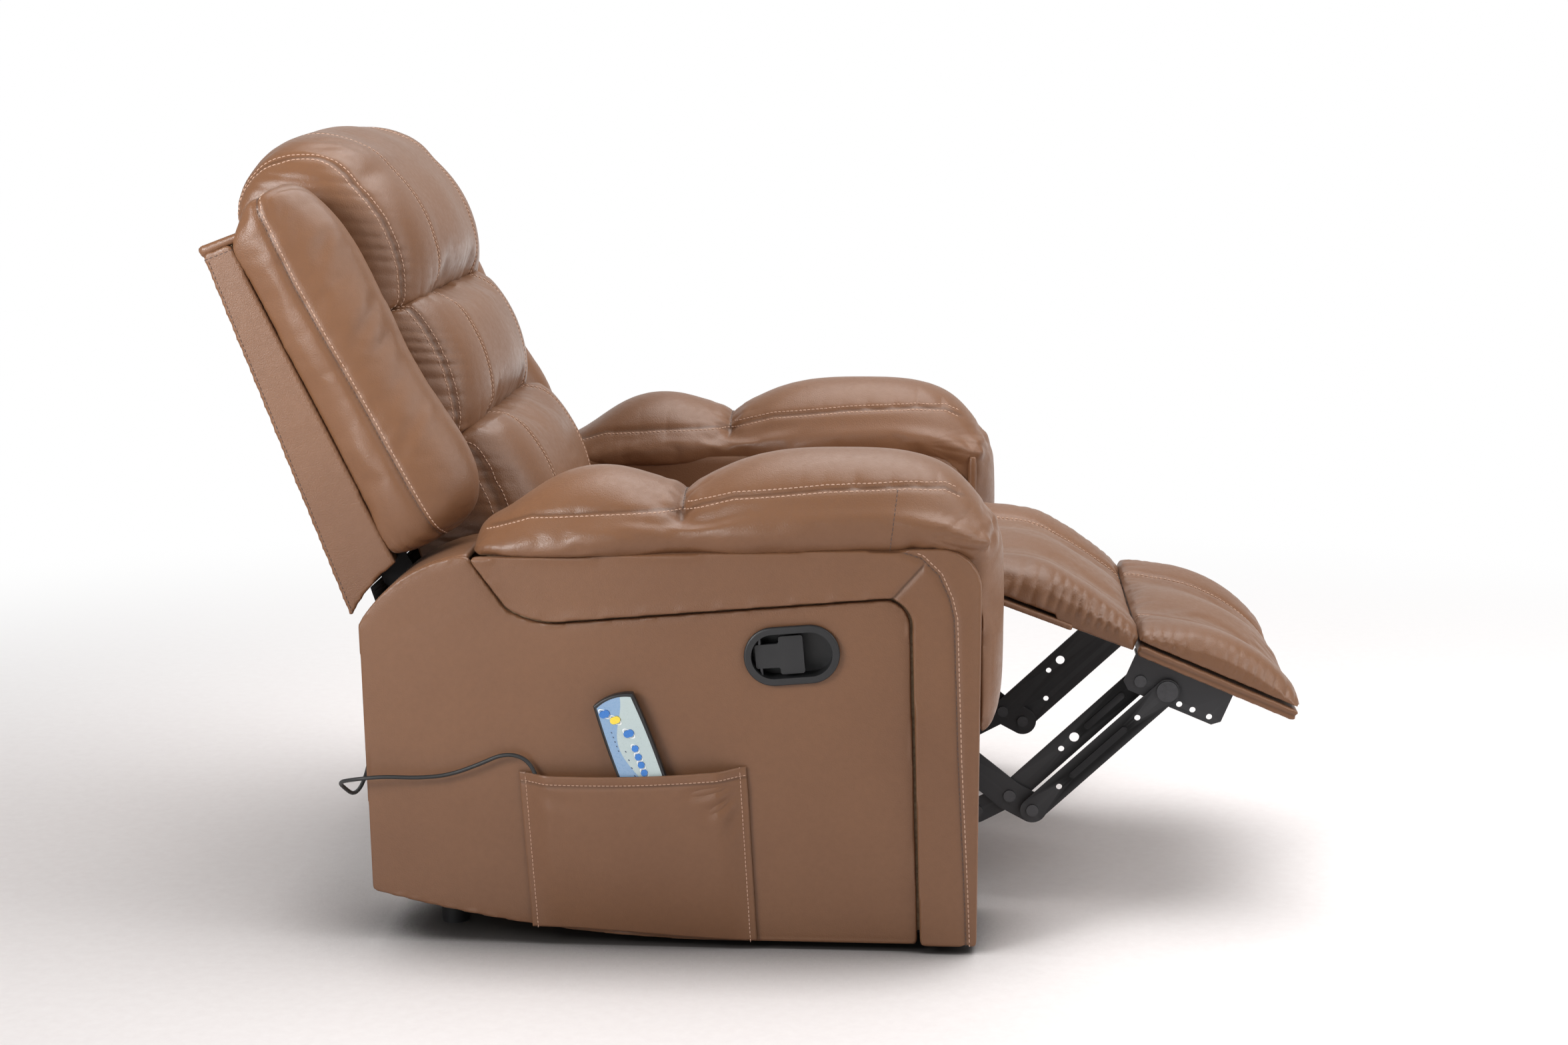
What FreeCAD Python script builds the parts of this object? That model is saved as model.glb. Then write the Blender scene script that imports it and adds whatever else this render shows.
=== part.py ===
import FreeCAD, Part
import math
import os

# Massage recliner with a lever-released footrest, a reclining back and a wired remote.
# +X points to the front of the chair, +Y to the sitter's left, +Z up; the floor is z = 0.
# All lengths are millimetres.  Places called "ahead" are measured forward from the rear edge
# of the arm boxes, heights from the floor, and places called "out" sideways from the middle.

V = FreeCAD.Vector

# Whole chair
side_rear_x = -501.0          # rear edge of the arm boxes from the origin
arm_depth = 775.0             # arm box, front to rear
seat_clear = 524.0            # between the two arm boxes
arm_width = 184.0             # inner face to the recessed side panel
clear = 0.3                   # gap left between pieces that do not press on each other
pin_clear = 0.06              # radial running clearance of pins

# Arm boxes
panel_thick = 14.0            # padded side panel
board_thick = 12.0            # plywood boards
inner_thick = 12.0            # padded inner face of the arm
border_proud = 9.0            # border face beyond the panel face
groove = 2.5                  # slot between panel and border
soft_edge = 5.0               # rounding of padded edges
profile_inset = 16.0          # wooden boards behind the cover edge
rear_low_z = 66.0             # bottom rear corner of the side
rear_low_ahead = 9.0
bottom_z = 9.0                # lowest edge of the side
bottom_mid_ahead = 427.0
bottom_arc_ahead = 200.0
bottom_arc_z = 27.0
front_low_back = 1.0
arc_end_ahead = 138.0         # front end of the round rear shoulder
seam_rear_ahead = 168.0       # seam under the arm pad
seam_rear_z = 500.0
seam_front_back = 60.0
seam_front_z = 517.0
corner_mid_back = 16.0          # rounded upper front corner
corner_mid_z = 503.0
corner_low_z = 465.0
saddle_ahead = 188.0          # lower edge of the band below the arm pad
saddle_z = 436.0
saddle_mid_ahead = 217.0
saddle_mid_z = 423.0
valley_ahead = 264.0
valley_z = 420.0
band_front_back = 116.0
band_front_z = 454.0
band_corner_back = 92.0
band_corner_z = 441.0
groove_top_back = 85.0
groove_top_z = 412.0
groove_low_back = 72.0
rail_height = 42.0            # wooden rails of the arm boxes
post_depth = 42.0
front_thick = 13.0            # padded front face of the arm
strip_thick = 9.0             # leather strip over the rear edge
arm_front_low_z = 14.0

# Feet
foot_radius = 22.0
foot_toe_radius = 18.0
foot_height = 84.0
foot_rear_ahead = 98.0
foot_front_back = 85.0

# Arm pads: shares of the pad length and heights over the seam
pad_rear_gap = 3.0            # pad behind the round shoulder's end
pad_front_over = 14.0          # past the front of the arm box
pad_crown = 112.0             # highest point over the rear seam height
pad_rest_gap = 0.9            # between the pad and the boards it lies on
pad_side_height = 44.0
pad_overhang = 13.0           # past the panel face
pad_inner_overhang = 4.0
pad_side_bulge = 6.0
pad_edge_inset = 30.0
pad_stations_share = ((0.0, 0.14, 0.55), (0.045, 0.40, 0.86), (0.165, 0.79, 1.0), (0.30, 0.83, 1.0),
                      (0.41, 0.70, 0.93), (0.50, 0.87, 0.99), (0.72, 1.0, 1.0), (0.86, 0.90, 1.0),
                      (0.945, 0.60, 0.97), (1.0, 0.16, 0.84))

# Front pads of the arms
front_pad_low_z = 272.0
front_pad_crown = 24.0
front_pad_side_inset = 7.0
front_pad_top_gap = 3.0
front_pad_stations_share = ((0.0, 0.18, 0.62), (0.07, 0.62, 0.9), (0.35, 0.98, 1.0), (0.7, 1.0, 1.0),
                            (1.0, 0.72, 0.97))

# Back
back_pivot_ahead = 157.0
back_pivot_z = 319.0
shoulder_radius = 182.0       # round rear shoulder of the arms, about the back pivot
back_gap = 17.0               # between the shoulder and the back
back_lean = 20.7              # degrees from upright
back_rear = -136.0            # rear face, from the pivot along the back's forward normal
back_low = 160.0              # lower end of the rear panel, from the pivot up the back
back_top = 636.0
back_half = 388.0             # half width over the side panels of the back
back_panel_thick = 8.0
strip_front_top = -97.0
strip_front_low = -54.0
strip_low_up = 196.0
stile_width = 40.0
stile_depth = 30.0
stile_low = 152.0
rail_wide = 44.0
back_low_rail_up = 178.0
back_mid_rail_up = 400.0
web_thick = 2.0
web_width = 50.0
web_count = 5
web_first_up = 260.0
web_last_up = 560.0

# Back cushions
bolster_inner = 270.0         # half spacing of the inner faces
bolster_over = 8.0            # past the side panels of the back
bolster_low = 200.0
bolster_top = 688.0
bolster_side_bulge = 6.0
bolster_stations_share = ((0.0, 0.40, 0.80), (0.03, 0.72, 0.95), (0.25, 1.0, 1.0), (0.6, 0.99, 1.0),
                          (0.88, 0.93, 0.98), (0.965, 0.72, 0.93), (1.0, 0.42, 0.80))
bolster_front_low = 76.0
bolster_front_top = 14.0
bolster_crown = 16.0
pillow_half = 263.0
lumbar_side_gap = 3.0         # beside the arm pads
pillow_back = -60.0
pillow_draw = 26.0            # how far the pillow ends draw in
pillow_stations_share = ((-1.0, 0.46), (-0.955, 0.70), (-0.8, 0.90), (-0.5, 0.965), (0.0, 1.0),
                         (0.5, 0.965), (0.8, 0.90), (0.955, 0.70), (1.0, 0.46))
lumbar_low = 104.0
lumbar_top = 304.5
lumbar_front = 110.0
lumbar_crown = 24.0
middle_top = 489.0
middle_front = 84.0
middle_crown = 22.0
headrest_top = 737.0
headrest_front = 76.0
headrest_crown = 26.0
headrest_shoulder_up = 662.0
headrest_rear = -126.0
pillow_gap = 1.0
bolster_rest_gap = 1.0

# Back pivot brackets and pins
bracket_thick = 4.0
back_pin_radius = 8.0
back_pin_head_radius = 14.0
back_pin_head = 5.0
bracket_eye_radius = 24.0
bracket_inset = 8.0           # bracket edge behind the lumbar pillow

# Seat
seat_rail_low = 335.0
seat_rail_high = 396.0
seat_rail_width = 38.0
seat_rear_ahead = 192.0
seat_front_ahead = 700.0
seat_cross_depth = 34.0
spring_wire_radius = 1.9
spring_count = 5
spring_loop_radius = 9.0
spring_loop_reach = 17.0
spring_loops = 22
cushion_rear_ahead = 196.0
cushion_front_gap = 1.5       # to the calf pad
cushion_rear_z = 425.0
cushion_dip_ahead = 286.0
cushion_top_z = 466.0
cushion_crown = 17.0
cushion_nose_z = 436.0
nose_bulge = 2.0              # of the rounded front edge, past a straight bevel
cushion_half = 259.0
cushion_stations_share = ((-1.0, 0.55), (-0.95, 0.82), (-0.6, 0.97), (0.0, 1.0), (0.6, 0.97), (0.95, 0.82),
                          (1.0, 0.55))
spring_cover = 4.0            # over the springs, under the seat cushion

# Base
cross_rail_size = 40.0
cross_rail_z = 250.0
cross_rail_rear_ahead = 214.0
cross_rail_front_ahead = 488.0
rear_cover_ahead = 8.0
rear_cover_thick = 3.0
rear_cover_low_z = 70.0
rear_cover_high_z = 278.0
skirt_thick = 1.6

# Footrest linkage: pivots in side view and the layers of its plates
link_thick = 3.0
link_gap = 2.6
link_outer = 240.0            # outer face of the outermost link from the middle
lift_pivot_ahead = 651.4
lift_pivot_z = 275.4
cross_pivot_ahead = 818.0
cross_pivot_z = 143.0
low_pivot_ahead = 848.0
low_pivot_z = 127.0
upper_end_ahead = 986.0
upper_end_z = 303.0
lower_end_ahead = 1021.0
lower_end_z = 291.0
idler_pivot_ahead = 607.9
idler_pivot_z = 251.4
idler_end_ahead = 775.1
idler_end_z = 119.9
link_half = 16.0              # half width of the links
lift_half = 20.0
idler_half = 13.0
rivet_radius = 4.0
rivet_head_radius = 8.0
rivet_head = 2.0
open_pivot_slack = 3.2          # slack of the two pivots that close the linkage loops
open_head_radius = 14.0
link_hole_radius = 6.5
small_hole_radius = 4.0
bead_height = 1.4
bead_half = 4.5
plate_low_z = 292.0
plate_front_ahead = 704.0
plate_lug_rear_ahead = 584.0
plate_lug_low_z = 226.0

# Footrest and calf panel
leg_slope = -22.5             # degrees, forward and down
footrest_board_behind = 8.0   # lower rear corner of the board, behind the end of the upper link
footrest_board_above = 39.0
footrest_board_long = 224.0
footrest_board_thick = 15.0
footrest_half = 256.0
footrest_pad_over = 4.0          # pad past the board's front edge
footrest_pad_edge = 20.0
footrest_pad_front_edge = 9.0
footrest_pad_crown = 30.0
footrest_pad_rear_in = 5.0
bracket_front_reach = 118.0   # from the upper link end along the board
bracket_tail = 20.0
bracket_drop = 17.0
bracket_flange = 26.0
calf_slope = -20.0
calf_rear_ahead = 789.0       # lower rear corner of the calf panel
calf_rear_z = 411.0
calf_long = 182.0
calf_board_long = 112.0
calf_board_thick = 8.0
calf_half = 254.0
calf_pad_rear = 50.0
calf_pad_front = 17.0
calf_pad_crown = 16.0
calf_rear_lean = 44.0         # upper rear edge toward the seat

# Vibration motors, heating pad and controller
motor_radius = 34.0
motor_height = 20.0
motor_ear = 14.0
motor_ear_thick = 3.0
back_motor_out = 95.0
back_motor_low_up = 268.0
back_motor_high_up = 436.0
seat_motor_ahead = 440.0
seat_motor_out = 95.0
leg_motor_along = 120.0
leg_motor_out = 110.0
leg_motor_height = 16.0
heat_pad_thick = 1.5
heat_pad_half = 140.0
heat_pad_low = 150.0
heat_pad_high = 250.0
box_depth = 42.0
box_half = 58.0
box_height = 62.0
box_middle_out = -70.0
box_low_z = 176.0
inlet_radius = 6.0
inlet_ring_radius = 9.0
inlet_ring = 3.0
inlet_out = -40.0
inlet_above = 18.0

# Release handle on the right side
bezel_back = 233.0
bezel_z = 381.0
bezel_long = 119.0
bezel_high = 74.0
bezel_proud = 4.5
bezel_flange = 9.0
cup_depth = 30.0
cup_wall = 2.5
paddle_tab_long = 30.0
paddle_tab_high = 30.0
paddle_long = 30.0
paddle_high = 48.0
paddle_thick = 6.0
paddle_set = 2.0              # paddle face below the rim face
paddle_pin_radius = 2.5
paddle_edge_gap = 1.5
paddle_rear_gap = 5.0
paddle_edge_radius = 6.0
cable_radius = 3.0
cable_turn_radius = 26.0
cable_in_out = 330.0
latch_ahead = 600.0
latch_z = 318.0
latch_long = 62.0
latch_half = 9.0
latch_thick = 3.0
latch_pin_radius = 4.0
latch_head_radius = 8.0
latch_head = 2.5

# Pocket and remote on the right side
pocket_rear_ahead = 203.0
pocket_front_ahead = 485.0
pocket_rear_top_z = 227.0
pocket_front_top_z = 237.0
pocket_low_z = 22.0
pocket_floor_z = 80.0
pocket_lean = 13.0            # forward shift of the lower edge
pocket_bulge = 21.0
pocket_wall = 2.2
pocket_side = 24.0
remote_top_ahead = 319.0
remote_top_z = 329.0
remote_lean = 19.7            # degrees, top toward the rear
remote_long = 172.0
remote_waist = 52.0
remote_belly = 58.0
remote_thick = 14.6
remote_seat = 0.6             # behind the remote, to the panel
remote_face_thick = 1.2
remote_face_inset = 3.5
remote_split = 8.0            # thickness of the rear shell
key_travel = 1.0
key_gap = 0.25
key_proud = 1.4
key_radius = 4.2
key_depth = 3.0
oval_long = 13.0
oval_high = 9.0
key_down_shares = ((0.108, -0.27), (0.175, -0.10), (0.30, 0.074))
round_down_shares = (0.42, 0.487, 0.549, 0.611)
round_across_share = 0.09

# Remote cord
cord_radius = 2.6
gland_radius = 6.0
gland_out = -118.0
gland_z = 222.0
plug_radius = 4.6
plug_long = 12.0
# Route of the cord, written out point by point from the gland to the remote
cord_route = (
    (-505.0, -118.0, 222.0), (-528.0, -118.0, 222.0), (-546.0, -150.0, 207.0), (-544.0, -200.0, 180.0),
    (-540.0, -250.0, 163.0), (-537.0, -300.0, 158.0), (-535.0, -350.0, 165.0), (-533.0, -398.0, 186.0),
    (-532.0, -440.0, 207.0), (-508.0, -462.0, 217.0), (-470.0, -460.0, 221.0), (-430.0, -457.0, 219.0),
    (-390.0, -454.0, 222.0), (-352.0, -453.5, 236.0), (-318.0, -453.5, 252.0), (-290.0, -453.5, 246.0),
    (-276.0, -454.0, 220.0), (-268.0, -454.0, 186.0), (-254.0, -454.0, 152.0), (-232.0, -454.0, 120.0),
    (-200.0, -454.0, 101.0), (-164.0, -454.0, 95.0), (-130.0, -454.0, 100.0), (-107.5, -454.0, 120.0),
    (-120.0, -454.0, 155.0))


# Places worked out from the sizes above
front_low_ahead = arm_depth - front_low_back
foot_front_ahead = arm_depth - foot_front_back
bezel_ahead = arm_depth - bezel_back
seam_front_ahead = arm_depth - seam_front_back
corner_mid_ahead = arm_depth - corner_mid_back
band_front_ahead = arm_depth - band_front_back
band_corner_ahead = arm_depth - band_corner_back
groove_top_ahead = arm_depth - groove_top_back
groove_low_ahead = arm_depth - groove_low_back
pad_front_ahead = arm_depth + pad_front_over
footrest_board_ahead = upper_end_ahead - footrest_board_behind
footrest_board_z = upper_end_z + footrest_board_above
bolster_outer = back_half + bolster_over
arm_inner = seat_clear / 2
panel_face = arm_inner + arm_width
panel_inner = panel_face - panel_thick
border_face = panel_face + border_proud
board_outer = panel_inner - board_thick
board_inner = arm_inner + inner_thick
front_x = side_rear_x + arm_depth
pivot_x = side_rear_x + back_pivot_ahead
back_radius = shoulder_radius + back_gap


def ahead(distance):
    """x of a place measured forward from the rear edge of the arm boxes."""
    return side_rear_x + distance


class Slope:
    """A tilted working plane seen from the side: along runs with it, up leaves it square."""

    def __init__(self, x, z, degrees):
        self.x = x
        self.z = z
        self.cos = math.cos(math.radians(degrees))
        self.sin = math.sin(math.radians(degrees))

    def point(self, along, up, y=0):
        return V(self.x + along * self.cos - up * self.sin, y, self.z + along * self.sin + up * self.cos)

    def direction(self, along, up):
        return V(along * self.cos - up * self.sin, 0, along * self.sin + up * self.cos)


back_plane = Slope(pivot_x, back_pivot_z, back_lean)
leg_plane = Slope(ahead(footrest_board_ahead), footrest_board_z, leg_slope)
calf_plane = Slope(ahead(calf_rear_ahead), calf_rear_z, calf_slope)


def closed(items):
    """Closed wire through points; an item of two points is an arc through the first to the second."""
    start = items[0]
    here = start
    edges = []
    for item in list(items[1:]) + [start]:
        if isinstance(item, tuple):
            edges.append(Part.Arc(here, item[0], item[1]).toShape())
            here = item[1]
        elif item.sub(here).Length > 0:
            edges.append(Part.LineSegment(here, item).toShape())
            here = item
    return Part.Wire(edges)


def side_points(items, y):
    """Points (x, z) of a side view set at one y."""
    placed = []
    for item in items:
        if isinstance(item[0], tuple):
            placed.append((V(item[0][0], y, item[0][1]), V(item[1][0], y, item[1][1])))
        else:
            placed.append(V(item[0], y, item[1]))
    return placed


def side_plate(items, y_from, y_to):
    """Plate with a side-view outline between two places across the chair."""
    face = Part.Face(closed(side_points(items, y_from)))
    return face.extrude(V(0, y_to - y_from, 0))


def box(x_from, x_to, y_from, y_to, z_from, z_to):
    return Part.makeBox(x_to - x_from, y_to - y_from, z_to - z_from, V(x_from, y_from, z_from))


def slab(plane, along_from, along_to, up_from, up_to, y_from, y_to):
    """Straight block in a tilted plane."""
    corners = ((along_from, up_from), (along_to, up_from), (along_to, up_to), (along_from, up_to))
    face = Part.Face(closed([plane.point(a, u, y_from) for a, u in corners]))
    return face.extrude(V(0, y_to - y_from, 0))


def cross_pin(x, z, radius, y_from, y_to):
    return Part.makeCylinder(radius, y_to - y_from, V(x, y_from, z), V(0, 1, 0))


def mirrored(shape):
    return shape.mirror(V(0, 0, 0), V(0, 1, 0))


def both(shape):
    """A shape on the left and its mirror image on the right, as separate solids."""
    return Part.makeCompound([shape, mirrored(shape)])


def soften(shape, y, radius):
    """Round every edge that lies in the plane across the chair at y."""
    edges = []
    for edge in shape.Edges:
        middle = edge.valueAt((edge.FirstParameter + edge.LastParameter) / 2)
        spots = [middle] + [vertex.Point for vertex in edge.Vertexes]
        if max(abs(spot.y - y) for spot in spots) < clear / 10:
            edges.append(edge)
    return shape.makeFillet(radius, edges)


def loft(wires):
    return Part.makeLoft(wires, True, False)


def save(name, shape):
    shape.exportStep("parts/" + name + ".step")


def reversed_items(items):
    """The same run of side-view points and arcs taken backwards."""
    ends = [item[1] if isinstance(item[0], tuple) else item for item in items]
    back = [ends[-1]]
    for place in range(len(items) - 1, 0, -1):
        item = items[place]
        if isinstance(item[0], tuple):
            back.append((item[0], ends[place - 1]))
        else:
            back.append(ends[place - 1])
    return back


# Arm boxes


def shoulder_point(inset, distance):
    """Point of the round shoulder, drawn in by inset, at a distance ahead of the rear edge."""
    rise = math.sqrt((shoulder_radius - inset) ** 2 - (back_pivot_ahead - distance) ** 2)
    return (ahead(distance), back_pivot_z + rise)


def shoulder_items(inset):
    """The rear edge's upper end and the round shoulder over it."""
    middle = (inset + arc_end_ahead) / 2
    return [shoulder_point(inset, inset),
            (shoulder_point(inset, middle), shoulder_point(inset, arc_end_ahead))]


def seam_line(x):
    """Height of the seam below the arm pad."""
    share = (x - ahead(seam_rear_ahead)) / (seam_front_ahead - seam_rear_ahead)
    return seam_rear_z + share * (seam_front_z - seam_rear_z)


def arm_profile(inset):
    """Side view of the arm box without its pad, drawn in by inset except at the pad seam."""
    items = [(ahead(rear_low_ahead + inset), rear_low_z + inset)]
    items += shoulder_items(inset)
    seam_end = ahead(seam_front_ahead) - inset
    items += [(ahead(seam_rear_ahead), seam_rear_z), (seam_end, seam_line(seam_end))]
    corner = (ahead(corner_mid_ahead - inset), corner_mid_z - inset)
    items += [(corner, (front_x - inset, corner_low_z - inset))]
    items += [(ahead(front_low_ahead - inset), bottom_z + inset), (ahead(bottom_mid_ahead), bottom_z + inset)]
    bottom = (ahead(bottom_arc_ahead + inset), bottom_arc_z + inset)
    items += [(bottom, items[0])]
    return items


def band_edge(gap):
    """Line between the side panel and the border, from the shoulder to the floor edge."""
    saddle = (ahead(saddle_ahead - gap), saddle_z - gap)
    valley = (ahead(valley_ahead), valley_z - gap)
    dip = (ahead(saddle_mid_ahead - gap), saddle_mid_z - gap)
    corner = (ahead(band_corner_ahead - gap), band_corner_z - gap)
    groove_top = (ahead(groove_top_ahead - gap), groove_top_z)
    return [saddle, (dip, valley), (ahead(band_front_ahead), band_front_z - gap), (corner, groove_top),
            (ahead(groove_low_ahead - gap), bottom_z)]


def side_panel():
    """Recessed padded panel of the left side."""
    low = (ahead(rear_low_ahead), rear_low_z)
    items = [low] + shoulder_items(0) + band_edge(groove)
    items += [(ahead(bottom_mid_ahead), bottom_z), ((ahead(bottom_arc_ahead), bottom_arc_z), low)]
    return soften(side_plate(items, panel_inner, panel_face), panel_face, soft_edge)


def arm_border():
    """Raised band below the arm pad and down the front of the left side."""
    corner = (ahead(corner_mid_ahead), corner_mid_z)
    tip = shoulder_point(0, arc_end_ahead)
    tip_x = tip[0] + groove
    items = [(tip_x, min(tip[1], seam_line(tip_x))),
             (ahead(seam_rear_ahead), seam_rear_z), (ahead(seam_front_ahead), seam_front_z)]
    items += [(corner, (front_x, corner_low_z)), (ahead(front_low_ahead), bottom_z)]
    items += reversed_items(band_edge(0))
    return side_plate(items, panel_inner, border_face)


def arm_inner_panel():
    """Padded inner face of the left arm."""
    return side_plate(arm_profile(front_thick + clear), arm_inner, board_inner)


def arm_frame():
    """Plywood sides, posts and rails inside the left arm."""
    outline = arm_profile(profile_inset)
    sides = [side_plate(outline, board_outer, panel_inner),
             side_plate(outline, board_inner, board_inner + board_thick)]
    inside = board_inner + board_thick
    low = foot_height
    high = seam_rear_z
    rear = ahead(foot_rear_ahead) - post_depth
    front = ahead(front_low_ahead) - profile_inset - post_depth
    bottom_rail = box(rear, front + post_depth, inside, board_outer, low, low + rail_height)
    top_rail = box(ahead(seam_rear_ahead), front + post_depth, inside, board_outer, high - rail_height, high)
    front_post = box(front, front + post_depth, inside, board_outer, low + rail_height, high - rail_height)
    rear_post = box(rear, rear + post_depth, inside, board_outer, low + rail_height, back_pivot_z)
    return Part.makeCompound(sides + [bottom_rail, top_rail, front_post, rear_post])


def arm_front():
    """Padded front face of the left arm box, between the border and the inner panel."""
    top = corner_low_z - front_thick
    low_x = ahead(front_low_ahead)
    items = [(low_x - front_thick, arm_front_low_z), (front_x - front_thick, top),
             (front_x - clear, top), (low_x - clear, arm_front_low_z)]
    return side_plate(items, arm_inner + clear, panel_inner - clear)


def arm_rear_strip():
    """Leather strip over the rear edge and the round shoulder of the left arm."""
    outer = [(ahead(rear_low_ahead), rear_low_z)] + shoulder_items(0)
    inner = [(ahead(rear_low_ahead + strip_thick), rear_low_z)] + shoulder_items(strip_thick)
    items = outer + reversed_items(inner)
    return side_plate(items, board_inner + clear, panel_inner - clear)


def arm_pad():
    """Pillow top of the left arm: two full lengths with a pinch between them."""
    wires = []
    outer = panel_face + pad_overhang
    inner = arm_inner - pad_inner_overhang
    middle = (outer + inner) / 2
    rear = ahead(arc_end_ahead) + pad_rear_gap
    for along_share, height_share, width_share in pad_stations_share:
        x = rear + along_share * (ahead(pad_front_ahead) - rear)
        low = seam_line(x) + pad_rest_gap
        half = (outer - inner) / 2 * width_share
        top = low + pad_crown * height_share
        side = low + pad_side_height * height_share
        inset = pad_edge_inset * width_share
        bulge = pad_side_bulge * height_share
        waist = (low + side) / 2
        wires.append(closed([
            V(x, middle - half, low), V(x, middle + half, low),
            (V(x, middle + half + bulge, waist), V(x, middle + half - inset / 2, side)),
            (V(x, middle, top), V(x, middle - half + inset / 2, side)),
            (V(x, middle - half - bulge, waist), V(x, middle - half, low))]))
    return loft(wires)


def arm_front_pad():
    """Front end of the left arm pad, hanging down the front face and closing in a round end."""
    wires = []
    outer = panel_face - front_pad_side_inset
    inner = arm_inner + front_pad_side_inset
    middle = (outer + inner) / 2
    high = seam_line(front_x) - front_pad_top_gap
    face = front_x + clear
    for up_share, depth_share, width_share in front_pad_stations_share:
        z = front_pad_low_z + up_share * (high - front_pad_low_z)
        half = (outer - inner) / 2 * width_share
        depth = front_pad_crown * depth_share
        wires.append(closed([
            V(face, middle - half, z), V(face, middle + half, z),
            (V(face + depth, middle, z), V(face, middle - half, z))]))
    return loft(wires)


def feet():
    """Four round feet under the bottom rails of the arms."""
    out = (board_inner + board_thick + board_outer) / 2
    solids = []
    for place in (foot_rear_ahead, foot_front_ahead):
        for y in (-out, out):
            solids.append(Part.makeCone(foot_toe_radius, foot_radius, foot_height, V(ahead(place), y, 0)))
    return Part.makeCompound(solids)


# Base between the arms


def cross_rails():
    """Two tubes that tie the arms together and carry the mechanism."""
    rails = []
    for place in (cross_rail_rear_ahead, cross_rail_front_ahead):
        rails.append(box(ahead(place), ahead(place) + cross_rail_size, -arm_inner, arm_inner,
                         cross_rail_z, cross_rail_z + cross_rail_size))
    return Part.makeCompound(rails)


def rear_cover():
    """Thin board that closes the base at the rear."""
    x = ahead(rear_cover_ahead)
    sheet = box(x, x + rear_cover_thick, -arm_inner, arm_inner, rear_cover_low_z, rear_cover_high_z)
    hole = Part.makeCylinder(gland_radius, box_depth, V(x - box_depth / 2, gland_out, gland_z), V(1, 0, 0))
    inlet = Part.makeCylinder(inlet_radius, box_depth, V(x - box_depth / 2, inlet_out, box_low_z + inlet_above),
                              V(1, 0, 0))
    return sheet.cut(hole).cut(inlet)


def rear_skirt():
    """Black cloth between the rear cover and the lower end of the back."""
    x = ahead(rear_cover_ahead)
    low = V(x, 0, rear_cover_high_z)
    high = back_plane.point(back_rear + skirt_thick, back_low)
    items = [(low.x, low.z + clear), (high.x, high.z - clear),
             (high.x + skirt_thick, high.z - clear), (low.x + skirt_thick, low.z + clear)]
    return side_plate(items, -arm_inner + clear, arm_inner - clear)


def control_box():
    """Controller of the massage motors behind the rear cover."""
    x = ahead(rear_cover_ahead) + rear_cover_thick
    shell = box(x, x + box_depth, box_middle_out - box_half, box_middle_out + box_half,
                box_low_z, box_low_z + box_height)
    return shell.makeFillet(cup_wall, [e for e in shell.Edges if abs(e.CenterOfMass.x - x) > clear])


def power_inlet():
    """Round socket for the power lead, open to the rear."""
    x = ahead(rear_cover_ahead)
    z = box_low_z + inlet_above
    ring = Part.makeCylinder(inlet_ring_radius, inlet_ring, V(x - inlet_ring, inlet_out, z), V(1, 0, 0))
    barrel = Part.makeCylinder(inlet_radius, rear_cover_thick, V(x, inlet_out, z), V(1, 0, 0))
    bore = Part.makeCylinder(inlet_radius / 2, inlet_ring + rear_cover_thick / 2, V(x - inlet_ring, inlet_out, z),
                             V(1, 0, 0))
    return ring.fuse(barrel).cut(bore).removeSplitter()


# Seat


def seat_side_rails():
    """Wooden side rails of the seat, outside the mechanism plates."""
    inner = layer(5)[1]
    return both(box(ahead(seat_rear_ahead), ahead(seat_front_ahead), inner, inner + seat_rail_width,
                    seat_rail_low, seat_rail_high))


def seat_cross_rails():
    """Front and rear rails of the seat between the mechanism plates."""
    inner = layer(5)[0]
    rails = []
    for x in (ahead(seat_rear_ahead), ahead(seat_front_ahead) - seat_cross_depth):
        rails.append(box(x, x + seat_cross_depth, -inner, inner, seat_rail_low, seat_rail_high))
    return Part.makeCompound(rails)


def zigzag(x_from, x_to, y, z):
    """One flat zigzag spring from the rear rail to the front rail."""
    step = (x_to - x_from) / spring_loops
    turn = step / 2
    edges = []
    here = V(x_from, y - spring_loop_reach, z)
    for loop in range(spring_loops):
        way = 1 if loop % 2 == 0 else -1
        corner = V(here.x, y + way * spring_loop_reach, z)
        edges.append(Part.LineSegment(here, corner).toShape())
        end = V(here.x + step, corner.y, z)
        edges.append(Part.Arc(corner, V(here.x + turn, corner.y + way * turn, z), end).toShape())
        here = end
    path = Part.Wire(edges)
    start = Part.Circle(path.Vertexes[0].Point, V(0, 1, 0), spring_wire_radius).toShape()
    return path.makePipeShell([Part.Wire([start])], True, True)


def seat_springs():
    """Zigzag springs lying on the seat's front and rear rails."""
    z = seat_rail_high + spring_wire_radius
    x_from = ahead(seat_rear_ahead) + spring_loop_radius
    x_to = ahead(seat_front_ahead) - spring_loop_radius
    room = 2 * layer(5)[0] / (spring_count + 1)
    first = zigzag(x_from, x_to, 0, z)
    solids = []
    for place in range(spring_count):
        solids.append(first.translated(V(0, (place - (spring_count - 1) / 2) * room, 0)))
    return Part.makeCompound(solids)


def calf_rear_x(z):
    """x of the calf pad's leaning rear face at a height, in the middle of the chair."""
    low = calf_plane.point(0, calf_board_thick + clear)
    high = calf_plane.point(-calf_rear_lean, calf_board_thick + clear + calf_pad_rear)
    return low.x + (high.x - low.x) * (z - low.z) / (high.z - low.z)


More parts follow.
